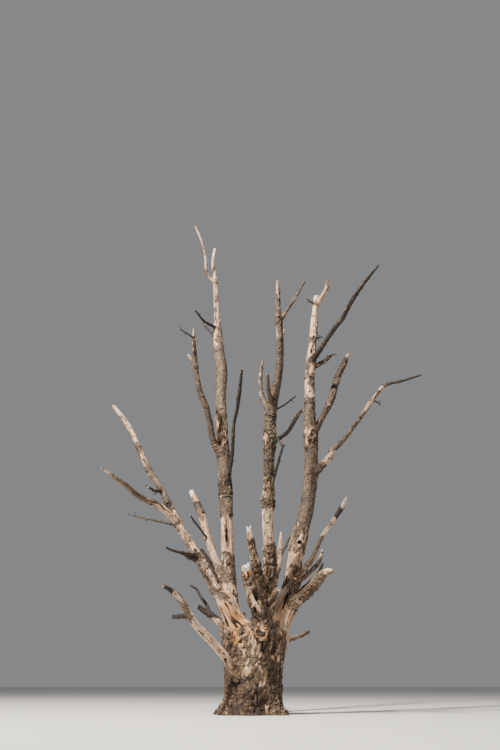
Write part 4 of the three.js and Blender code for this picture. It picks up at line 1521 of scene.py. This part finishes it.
@dataclass
class Bole:
    """The foot of the tree: a turned profile with root ridges, folds and a lean."""

    profile: tuple[Pair, ...] = (
        (0, 500), (90, 428), (220, 374), (420, 342), (650, 346), (820, 374), (930, 392),
        (1020, 366), (1085, 280), (1125, 160), (1140, 0),
    )
    waves: tuple[tuple[float, float, float], ...] = ((7, 12, 0.09), (4, 63, 0.06), (3, 200, 0.05))
    root_height: float = 0.26
    fold_count: int = 5
    fold_depth: float = 0.035
    fold_twist: float = 40.0
    looks: Looks = ((0.42, Look.ROUGH), (1, Look.EARTHY))
    spots: tuple[Spot, ...] = (
        Spot(287, 0.5, 0.05, 0.13, Look.BARE), Spot(272, 0.76, 0.06, 0.13, Look.MOTTLED),
        Spot(238, 0.93, 0.08, 0.1, Look.TORN), Spot(20, 0.6, 0.07, 0.25, Look.MOTTLED),
        Spot(130, 0.7, 0.1, 0.3, Look.BARE), Spot(170, 0.4, 0.07, 0.2, Look.MOTTLED),
        Spot(75, 0.5, 0.08, 0.2, Look.MOTTLED), Spot(258, 1.06, 0.12, 0.09, Look.TORN),
    )
    radius: float = 0.36
    widest: float = 0.9
    ridge_height: float = 0.05
    furrow_depth: float = 0.028
    seam_depth: float = 0.01
    bulge: float = 0.018
    # the last two numbers are the strength and the width of the painted shade in the crease
    joining: Joining = Joining(0.5, 0.4, 0.25)
    sides: int = 220
    spacing: float = 0.01
    seed: int = 77
    uneven_seed: int = 6
    furrow_seed: int = 4

    def outline(self) -> tuple[Array, Array]:
        """Give the profile, evenly spaced.

        Returns:
            The radius and the height of each of its points.
        """
        knots = np.array(self.profile) * MM
        knots = np.concatenate([knots[:1], knots, knots[-1:]])
        along = np.linspace(0, 1, 30, endpoint=False)[:, None]
        parts = []
        for a, b, c, d in zip(knots, knots[1:], knots[2:], knots[3:]):
            leave, reach = (c - a) / 2, (d - b) / 2
            cubic = (2 * b - 2 * c + leave + reach) * along**3
            parts.append(cubic + (-3 * b + 3 * c - 2 * leave - reach) * along**2 + leave * along + b)
        rows = np.concatenate([*parts, knots[-1:]])
        walked = walked_along(rows)
        even = np.linspace(0, walked[-1], round(walked[-1] / self.spacing))
        return np.interp(even, walked, rows[:, 1]), np.interp(even, walked, rows[:, 0])

    def swell(self, heading: Array, height: Array) -> Array:
        """Give how far the surface stands out.

        Args:
            heading: Headings, in radians.
            height: Heights, in metres.

        Returns:
            The reach from the middle, in radii of the profile.
        """
        low = hump(height, 0, self.root_height)
        roots = sum(gain * np.cos(count * (heading - math.radians(at))) for count, at, gain in self.waves)
        turned = heading + math.radians(self.fold_twist) * height / TRUNK_HEIGHT
        return 1 + low * roots + self.fold_depth * (1 - low) * np.cos(self.fold_count * turned)

    @property
    def line(self) -> Line:
        """The middle line, from the cut to the fork."""
        lean, height = TRUNK_LEAN, TRUNK_HEIGHT
        return Line([np.zeros(3), np.array([lean / 3, 0, height / 2]), np.array([lean, 0, height])])

    def middle(self, height: Array) -> Array:
        """Give how far to the right the middle stands at a height."""
        return self.line.at(np.clip(height / TRUNK_HEIGHT, 0, 1))[..., 0]

    def beyond(self, points: Array, reach: float = 0.2) -> Array:
        """Give how far points stand outside the surface.

        Args:
            points: The points, in any grid.
            reach: The distance beyond which it needn't be exact.

        Returns:
            The distance at each point, below 0 inside it.
        """
        batch, flat = 8000, points.reshape(-1, 3)
        result = np.full(len(flat), FAR)
        radius, height = self.outline()
        near = (flat[:, 2] < TRUNK_HEIGHT + reach) & (np.abs(flat[:, :2]).max(1) < self.widest)
        spots = np.flatnonzero(near)
        for start in range(0, len(spots), batch):
            some = flat[spots[start : start + batch]]
            east, north, high = some[:, 0] - self.middle(some[:, 2]), some[:, 1], some[:, 2]
            swell = self.swell(np.arctan2(north, east), np.minimum(high, TRUNK_HEIGHT))
            rho = np.hypot(east, north)
            away = np.hypot(rho[:, None] - radius[None] * swell[:, None], high[:, None] - height[None])
            inside = (rho < np.interp(high, height, radius) * swell) & (high < TRUNK_HEIGHT)
            result[spots[start : start + batch]] = away.min(1) * np.where(inside, -1, 1)
        return result.reshape(points.shape[:-1])

    def turning(self) -> Skin:
        """Lay the grid of the foot, from the middle of the cut to the middle of the fork.

        Returns:
            The skin, without masks.
        """
        (radius, height), turn = self.outline(), ring_of(self.sides)
        cos, sin = np.cos(turn)[None], np.sin(turn)[None]
        grid = np.ones((len(radius), self.sides))
        tall = height[:, None] * grid
        reach = radius[:, None] * self.swell(turn[None], tall)
        points = np.stack([self.middle(tall) + reach * cos, reach * sin, tall], -1)
        slope = unit(np.gradient(np.stack([radius, height], 1), axis=0))
        slope[0] = (0, 1)
        out = np.stack([slope[:, 1:] * cos, slope[:, 1:] * sin, -slope[:, :1] * grid], -1)
        place = np.stack([reach * cos, reach * sin, tall], -1) + 23.0
        cut = np.zeros_like(points[:1])
        points, out = np.concatenate([cut, points]), np.concatenate([cut - (0, 0, 1), out])
        place = np.concatenate([place[:1].mean(1, keepdims=True) * np.ones_like(place[:1]), place])
        share = points[:, 0, 2] / TRUNK_HEIGHT
        return Skin(points, out, place, np.full(len(points), 0.4), share, TRUNK_HEIGHT)

    def skin(self, neighbours: list[tuple[Branch, float]]) -> Grids:
        """Make the skin of the foot.

        Args:
            neighbours: Each limb that leaves the foot, and how wide their hollow is.

        Returns:
            The skin.
        """
        skin, weathering = self.turning(), Weathering(self.seed)
        high = skin.points[..., 2]
        fields = weathering.fields(self.looks, skin)
        uneven = Noise(self.uneven_seed)(skin.place, (8, 8, 4), 2)
        for spot in self.spots:
            around = turned_from(ring_of(self.sides)[None], math.radians(spot.heading))
            far = np.hypot(self.radius * around / spot.wide, (high - spot.height) / spot.tall)
            fields = weathering.turned(fields, spot.look, smoothstep(1.7, 0.5, far + 0.8 * uneven))
        near = []
        for branch, blend in neighbours:
            away = branch.beyond(skin.points, 0.0, min(1.0, 1.6 / branch.line.length), 0.25)
            near.append((away, blend))
            if branch.limb.name in TORN_FEET:
                fields = weathering.turned(fields, Look.TORN, smoothstep(0.16, 0.03, away + 0.05 * uneven))
        weathering.dress(skin, fields, 0)
        noise = Noise(self.furrow_seed)
        band = smoothstep(0.1, 0.75, high) * smoothstep(1.14, 1.0, high)
        feet = [branch for branch, _ in neighbours if branch.shoulder]
        skin.lift = skin.lift + self.ridge_height * (self.ridges(high, feet, noise) - 0.5) * band
        self.furrow(skin, uneven, noise)
        self.joining.join(skin, near)
        skin.lift = skin.lift * smoothstep(-0.01, 0.04, high)
        grids = skin.finished()
        grids["points"][..., 2] = np.maximum(grids["points"][..., 2], 0.0)
        return grids

    def ridges(self, high: Array, feet: list[Branch], noise: Noise) -> Array:
        """Give the ridges that run down from the feet of the stems.

        Args:
            high: The height of each point of the skin.
            feet: The limbs that have a shoulder.
            noise: The noise of their course.

        Returns:
            A number from 0 to 1 for each point.
        """
        ridge, foot_height = np.zeros_like(high), 1.1
        for branch in feet:
            spots = branch.line.at(np.linspace(0, branch.shoulder, 60))
            spot = spots[int(np.argmin(np.abs(spots[:, 2] - foot_height)))]
            heading = math.atan2(spot[1], spot[0] - TRUNK_LEAN)
            wander = 0.25 * noise(np.stack([0 * high, 0 * high, high], -1) + heading, (1, 1, 2.2))
            around = turned_from(ring_of(self.sides)[None] - heading, wander)
            ridge = np.maximum(ridge, hump(around, 0, 0.4))
        return ridge

    def furrow(self, skin: Skin, uneven: Array, noise: Noise) -> None:
        """Cut upright furrows and finer seams, paint shade into them, and swell the bark between them.

        Args:
            skin: The skin.
            uneven: How uneven the furrows run.
            noise: The noise of their course.
        """
        place = skin.place
        furrow = np.abs(noise(place, (8, 8, 1.9), 2) + 0.15 * uneven)
        valley = smoothstep(0.17, 0.0, furrow) * smoothstep(-0.4, 0.2, noise(place + 2.0, (5, 5, 2.5)))
        seam = smoothstep(0.13, 0.0, np.abs(noise(place + 11.0, (19, 19, 3.4), 2)))
        seam = seam * smoothstep(-0.2, 0.3, noise(place + 8.0, (7, 7, 4)))
        lift = skin.lift - self.furrow_depth * valley - self.seam_depth * seam
        skin.lift = lift + self.bulge * noise(place + 5.0, (3.6, 3.6, 2.2), 2)
        # painted shade in the furrows and seams
        skin.raise_mask("crack", slice(None), 0.95 * np.maximum(valley, 0.9 * seam))


Carrier = Bole | Branch


# Finishes


def rgb(code: str) -> Rgb:
    """Turn a colour such as c8a070 into linear red, green and blue."""
    parts = [int(code[i : i + 2], 16) / 255 for i in (0, 2, 4)]
    return tuple(part / 12.92 if part <= 0.04045 else ((part + 0.055) / 1.055) ** 2.4 for part in parts)


class Shade:
    """A socket of a node graph, with arithmetic that adds the nodes for it."""

    def __init__(self, graph: Graph, socket: bpy.types.NodeSocket) -> None:
        """Wrap a socket."""
        self.graph = graph
        self.socket = socket

    def __add__(self, other: Shade | float) -> Shade:
        """Add."""
        return self.graph.math("ADD", self, other)

    def __sub__(self, other: Shade | float) -> Shade:
        """Subtract."""
        return self.graph.math("SUBTRACT", self, other)

    def __mul__(self, other: Shade | float) -> Shade:
        """Multiply."""
        return self.graph.math("MULTIPLY", self, other)

    def __rsub__(self, other: float) -> Shade:
        """Subtract from a number."""
        return self.graph.math("SUBTRACT", other, self)

    __radd__ = __add__
    __rmul__ = __mul__

    def __abs__(self) -> Shade:
        """Drop the sign."""
        return self.graph.math("ABSOLUTE", self)


class Graph:
    """The node graph of a material."""

    def __init__(self, name: str) -> None:
        """Make a material with an empty graph.

        Args:
            name: The material's name.
        """
        self.material = bpy.data.materials.new(name)
        self.material.use_nodes = True
        self.tree = self.material.node_tree
        self.tree.nodes.clear()

    def node(self, kind: str, settings: dict, inputs: dict, output: int | str = 0) -> Shade:
        """Add a node.

        Args:
            kind: The node's type.
            settings: Its settings, which are set before its inputs.
            inputs: The value or the link of each socket, by name or number.
            output: The socket that is read from it.

        Returns:
            The output.
        """
        node = self.tree.nodes.new(kind)
        for key, value in settings.items():
            if key == "stops":
                self.stops(node.color_ramp, value)
            else:
                setattr(node, key, value)
        for key, value in inputs.items():
            if isinstance(value, Shade):
                self.tree.links.new(value.socket, node.inputs[key])
            else:
                node.inputs[key].default_value = value
        return Shade(self, node.outputs[output])

    def stops(self, ramp: bpy.types.ColorRamp, stops: Stops) -> None:
        """Set the stops of a colour ramp.

        Args:
            ramp: The ramp, which is changed.
            stops: The place and the colour of each stop.
        """
        while len(ramp.elements) < len(stops):
            ramp.elements.new(0.5)
        for element, (at, code) in zip(ramp.elements, stops):
            element.position = at
            element.color = (*rgb(code), 1.0)

    def ramp(self, value: Shade, stops: Stops) -> Shade:
        """Read a colour from a ramp."""
        return self.node("ShaderNodeValToRGB", {"stops": stops}, {0: value})

    def surface(self, colour: Shade | Rgb, rough: Shade | float, normal: Shade | None = None) -> Material:
        """Close the graph with a rough surface.

        Args:
            colour: Its colour.
            rough: Its roughness.
            normal: Its normal, where it has relief.

        Returns:
            The material.
        """
        base = colour if isinstance(colour, Shade) else (*colour, 1.0)
        inputs = {"Base Color": base, "Roughness": rough, "Specular IOR Level": 0.35}
        if normal is not None:
            inputs["Normal"] = normal
        shader = self.node("ShaderNodeBsdfPrincipled", {}, inputs)
        output = self.tree.nodes.new("ShaderNodeOutputMaterial")
        self.tree.links.new(shader.socket, output.inputs["Surface"])
        return self.material

    def math(self, operation: str, *values: Shade | float) -> Shade:
        """Add a Math node."""
        return self.node("ShaderNodeMath", {"operation": operation}, dict(enumerate(values)))

    def read(self, name: str, output: str = "Fac") -> Shade:
        """Read what the mesh has under a name."""
        settings = {"attribute_type": "GEOMETRY", "attribute_name": name}
        return self.node("ShaderNodeAttribute", settings, {}, output)

    def noise(self, stretch: Stretch, detail: float = 3.0, rough: float = 0.55) -> Shade:
        """Give noise over the wood.

        Args:
            stretch: Cells per metre along x, y and z of the place on the wood.
            detail: How many finer layers it has.
            rough: How strong they are.

        Returns:
            The noise, from about -1 to 1.
        """
        sockets = {0: self.read("place", "Vector"), 1: stretch}
        place = self.node("ShaderNodeVectorMath", {"operation": "MULTIPLY"}, sockets)
        inputs = {"Vector": place, "Scale": 1.0, "Detail": detail, "Roughness": rough}
        return 2.6 * self.node("ShaderNodeTexNoise", {}, inputs) - 1.3

    def step(self, value: Shade, low: float, high: float) -> Shade:
        """Rise smoothly from 0 to 1 as a value goes from low to high.

        Args:
            value: The value.
            low: Where the rise starts. It may be above high, for a fall.
            high: Where the rise ends.

        Returns:
            A number from 0 to 1.
        """
        if low > high:
            return 1 - self.step(value, high, low)
        settings = {"interpolation_type": "SMOOTHSTEP"}
        return self.node("ShaderNodeMapRange", settings, {"Value": value, "From Min": low, "From Max": high})

    def mix(self, share: Shade | float, *colours: Shade | Rgb) -> Shade:
        """Mix two colours by the share of the second one."""
        low, high = (colour if isinstance(colour, Shade) else (*colour, 1.0) for colour in colours)
        return self.node("ShaderNodeMix", {"data_type": "RGBA"}, {0: share, 6: low, 7: high}, 2)


# The stretch, detail and roughness of each noise that the finishes read
NOISES = {
    "broad": ((3.3, 3.3, 1.6), 3, 0.55),
    "patch": ((15, 15, 8), 4, 0.6),
    "fleck": ((48, 48, 32), 3, 0.6),
    "grit": ((210, 210, 160), 3, 0.7),
    "rings": ((8, 8, 75), 3, 0.6),
    "grain": ((150, 150, 6), 4, 0.6),
    "streak": ((42, 42, 3.4), 3, 0.6),
}


@dataclass(frozen=True)
class WoodFinish:
    """A finish of the dead wood, read from the masks of the mesh."""

    slot: Finish
    bark: Stops = ((0.0, "1a130f"), (0.25, "382c23"), (0.48, "594839"), (0.7, "806a56"), (1.0, "c0a68c"))
    wood: Stops = ((0.0, "3a291e"), (0.25, "83624a"), (0.48, "b8977c"), (0.7, "ddc4ac"), (1.0, "f5e8d8"))
    torn: Stops = ((0.0, "26170e"), (0.28, "683f22"), (0.5, "a87440"), (0.72, "d4a368"), (1.0, "eed3ab"))
    lichen: Rgb = rgb("7d7856")
    bleached: Rgb = rgb("f5ebdc")
    rust: Rgb = rgb("955f43")
    # the near-black of the painted shade in cracks, checks, pits and holes
    gap: Rgb = rgb("1d1510")
    relief: float = 0.006

    def material(self) -> Material:
        """Make the material.

        Returns:
            The material, named by its slot.
        """
        graph = Graph(self.slot.value)
        noises = {name: graph.noise(*noise) for name, noise in NOISES.items()}
        on = SimpleNamespace(**noises, **{name: graph.read(name) for name in MASKS})
        edge = graph.step(on.bark + 0.4 * on.fleck, 0.3, 0.7)
        colour = graph.mix(edge, self.wood_colour(graph, on), self.bark_colour(graph, on))
        # painted shade in checks and pits finer than those of the mesh
        hair = graph.step(abs(on.grain), 0.1, 0.0) * graph.step(on.patch, -0.2, 0.5) * (1 - edge)
        pits = graph.step(on.fleck + 0.4 * on.patch, -0.62, -0.95)
        colour = graph.mix(0.6 * hair + 0.55 * pits, colour, self.gap)
        # painted shade in the cracks, grooves, furrows and holes that the mesh carries
        colour = graph.mix(graph.step(on.crack + 0.3 * on.fleck, 0.25, 0.85), colour, self.gap)
        height = edge * (0.9 * on.fleck * (0.7 + on.rough) + 0.45 * on.rings + 0.35 * on.grit + 0.5)
        height = height + (1 - edge) * (0.5 * on.grain + 0.45 * on.streak + 0.12 * on.grit)
        height = height - 0.8 * hair - 0.9 * pits
        bump = graph.node("ShaderNodeBump", {}, {"Strength": 1.0, "Distance": self.relief, "Height": height})
        glint = 0.84 - 0.36 * (edge * (1 - on.rough)) - 0.1 * on.pale + 0.06 * on.fleck
        return graph.surface(colour, glint, bump)

    def bark_colour(self, graph: Graph, on: SimpleNamespace) -> Shade:
        """Colour the bark from dark to tan in patches and flecks, ringed, with lichen.

        Args:
            graph: The graph.
            on: The masks and noises, by name.

        Returns:
            The colour.
        """
        pores = graph.step(graph.noise((34, 34, 130), 2), 0.3, 0.75) * (1 - on.rough)
        tone = 0.44 + 0.2 * on.broad + 0.3 * on.patch + 0.34 * on.fleck + 0.2 * on.rings + 0.12 * on.grit
        # the dark mask darkens dark old bark, and also paints shade into the crotches
        colour = graph.ramp(tone + 0.3 * pores + 0.55 * on.pale - 0.38 * on.dark, self.bark)
        moss = 0.6 * graph.step(on.broad + 0.6 * on.fleck, 0.15, 0.8)
        return graph.mix(moss * (1 - on.pale), colour, self.lichen)

    def wood_colour(self, graph: Graph, on: SimpleNamespace) -> Shade:
        """Colour the bare wood, streaked along the grain, bleached or torn in places.

        Args:
            graph: The graph.
            on: The masks and noises, by name.

        Returns:
            The colour.
        """
        tone = 0.53 + 0.16 * on.broad + 0.24 * on.patch + 0.5 * on.streak + 0.24 * on.grain + 0.12 * on.fleck
        # the dark mask darkens dark wood, and also paints shade into the crotches
        colour = graph.ramp(tone - 0.4 * on.dark + 0.12 * on.pale, self.wood)
        bleach = graph.step(on.pale + 0.3 * on.streak + 0.2 * on.patch, 0.3, 0.95)
        colour = graph.mix(bleach, colour, self.bleached)
        rust = 0.55 * graph.step(on.patch - 0.3 * on.streak, 0.25, 0.9) * (1 - on.pale)
        colour = graph.mix(rust, colour, self.rust)
        tone = 0.5 + 0.45 * on.streak + 0.3 * on.patch + 0.25 * on.grain - 0.3 * on.dark
        shred = graph.step(on.torn + 0.35 * on.patch + 0.2 * on.streak, 0.05, 0.85)
        return graph.mix(shred, colour, graph.ramp(tone, self.torn))


FINISHES = (
    WoodFinish(Finish.BARK),
    WoodFinish(Finish.MOTTLED),
    WoodFinish(Finish.BLEACHED),
    WoodFinish(Finish.WEATHERED),
    WoodFinish(Finish.TWIG, relief=0.003),
)


# The tree and its studio


@dataclass
class Tree:
    """The whole tree, made piece by piece."""

    bole: Bole = field(default_factory=Bole)
    branches: dict[str, Branch] = field(default_factory=dict)
    shoulder_blend: float = 0.2
    widest_blend: float = 0.16
    least_blend: float = 0.012
    blend_share: float = 0.85
    clearance_spots: int = 25

    def __post_init__(self) -> None:
        """Lay the middle line of every limb, and make the finishes."""
        lines = {"trunk": self.bole.line}
        for order, limb in enumerate(LIMBS):
            points = [lines[limb.parent].at(limb.at)]
            for run, lean, heading, _ in limb.legs:
                points.append(points[-1] + run * MM * direction(lean, heading))
            lines[limb.name] = Line(points)
            parent = self.branches.get(limb.parent)
            self.branches[limb.name] = Branch(limb, order, lines[limb.name], parent)
        self.materials = {finish.slot: finish.material() for finish in FINISHES}

    def blend(self, branch: Branch) -> float:
        """Give how wide the filled hollow is between a limb and what it grows from."""
        own = max(self.least_blend, self.blend_share * float(branch.thickness(0.0)))
        return self.shoulder_blend if branch.shoulder else own

    def neighbours(self, branch: Branch) -> list[tuple[Carrier, float]]:
        """Find the surfaces that a limb is grown together with.

        Args:
            branch: The limb.

        Returns:
            Each surface, and how wide their hollow is.
        """
        found: list[tuple[Carrier, float]] = [(branch.parent or self.bole, self.blend(branch))]
        for other in self.branches.values():
            both_stems = other is not branch and bool(other.shoulder and branch.shoulder)
            if other.parent is branch or both_stems:
                found.append((other, min(self.blend(other), self.widest_blend)))
        return found

    def piece(self, name: str, skins: list[Grids], slot: Finish, nodes: tuple[str, ...]) -> None:
        """Make a piece, ride it on the tree and hide the nodes that it replaces.

        Args:
            name: The piece's name.
            skins: Its skins.
            slot: Its finish.
            nodes: The nodes, if any.
        """
        piece = Sheet(skins).piece(name)
        piece.data.materials.append(self.materials[slot])
        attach(piece, "root")
        if nodes:
            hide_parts(*nodes)
        triangles = sum(len(face.vertices) - 2 for face in piece.data.polygons)
        log.info("%s: %d triangles", name, triangles)

    def build(self) -> None:
        """Make the trunk, every limb and the scattered spurs.

        The lowest stretch of each stem, which stands in the trunk's shoulder, is part of the
        trunk's piece.
        """
        shares = np.linspace(0, 1, self.clearance_spots)
        spots = {name: (b.line.at(shares), b.thickness(shares)) for name, b in self.branches.items()}
        foot = [(b, self.blend(b)) for b in self.branches.values() if b.parent is None]
        trunk, spurs = [self.bole.skin(foot)], []
        for branch in self.branches.values():
            limb = branch.limb
            skin = branch.skin(branch.parent or self.bole, self.neighbours(branch))
            if branch.shoulder:
                seam = int(np.argmax(skin["points"][..., 2].mean(1) >= SHOULDER_TOP))
                trunk.append(part(skin, 0, seam))
                skin = part(skin, seam, len(skin["points"]) - 1)
            growths = branch.growths([spot for name, spot in spots.items() if name != limb.name])
            self.piece(f"wood_{limb.name}", [skin, *growths], limb.finish, (limb.name,))
            spurs += branch.spurs()
        self.piece("wood_trunk", trunk, Finish.MOTTLED, ("trunk",))
        self.piece("wood_spurs", spurs, Finish.WEATHERED, ())


@dataclass(frozen=True)
class Lamp:
    """A soft square lamp that faces a target, with its power in watts."""

    name: str
    place: Point
    target: Point
    size: float
    power: float
    colour: Rgb

    def build(self) -> None:
        """Make the lamp."""
        data = bpy.data.lights.new(self.name, "AREA")
        data.size, data.energy, data.color = self.size, self.power, self.colour
        lamp = bpy.data.objects.new(self.name, data)
        lamp.location = self.place
        facing = Vector(self.target) - Vector(self.place)
        lamp.rotation_euler = facing.to_track_quat("-Z", "Y").to_euler()
        bpy.context.scene.collection.objects.link(lamp)


@dataclass(frozen=True)
class Studio:
    """A plain pale floor, soft light and a camera low in front of the tree."""

    floor: float = 300.0
    floor_colour: Rgb = rgb("dcdad6")
    sky: Rgb = (0.96, 0.97, 1.0)
    sky_strength: float = 0.26
    lamps: tuple[Lamp, ...] = (
        Lamp("key", (-6.3, -7.1, 14.5), (0, 0, 3.8), 1.1, 7700.0, (1.0, 0.94, 0.86)),
        Lamp("rim", (9.0, 6.0, 8.0), (0, 0, 4.5), 5.0, 120.0, (0.9, 0.95, 1.0)),
    )
    eye: Point = (-0.03, -11.0, 0.36)
    pitch: float = 23.1
    lens: float = 35.0
    sensor: float = 36.0

    def build(self) -> None:
        """Make the floor, the light and the camera."""
        self.build_floor()
        world = bpy.data.worlds.new("studio")
        world.use_nodes = True
        sky = world.node_tree.nodes["Background"]
        sky.inputs["Color"].default_value = (*self.sky, 1.0)
        sky.inputs["Strength"].default_value = self.sky_strength
        bpy.context.scene.world = world
        for lamp in self.lamps:
            lamp.build()
        self.build_camera()

    def build_floor(self) -> None:
        """Make the floor, which is for the picture alone."""
        half = self.floor
        corners = [(-half, -half, 0), (half, -half, 0), (half, half, 0), (-half, half, 0)]
        mesh = bpy.data.meshes.new("floor")
        mesh.from_pydata(corners, [], [(0, 1, 2, 3)])
        mesh.materials.append(Graph("pale_floor").surface(self.floor_colour, 0.9))
        floor = bpy.data.objects.new("floor", mesh)
        bpy.context.scene.collection.objects.link(floor)

    def build_camera(self) -> None:
        """Make the camera, which looks up from low in front."""
        camera = bpy.data.objects.new("camera", bpy.data.cameras.new("camera"))
        camera.data.lens, camera.data.sensor_width = self.lens, self.sensor
        camera.location = self.eye
        camera.rotation_euler = (math.radians(90 + self.pitch), 0, 0)
        bpy.context.scene.collection.objects.link(camera)
        bpy.context.scene.camera = camera


def main() -> None:
    """Build the studio and the tree."""
    logging.basicConfig(level=logging.INFO, format="%(message)s")
    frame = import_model()
    log.info("%d nodes to replace", len(frame["nodes"]))
    Studio().build()
    Tree().build()


if __name__ == "__main__":
    main()
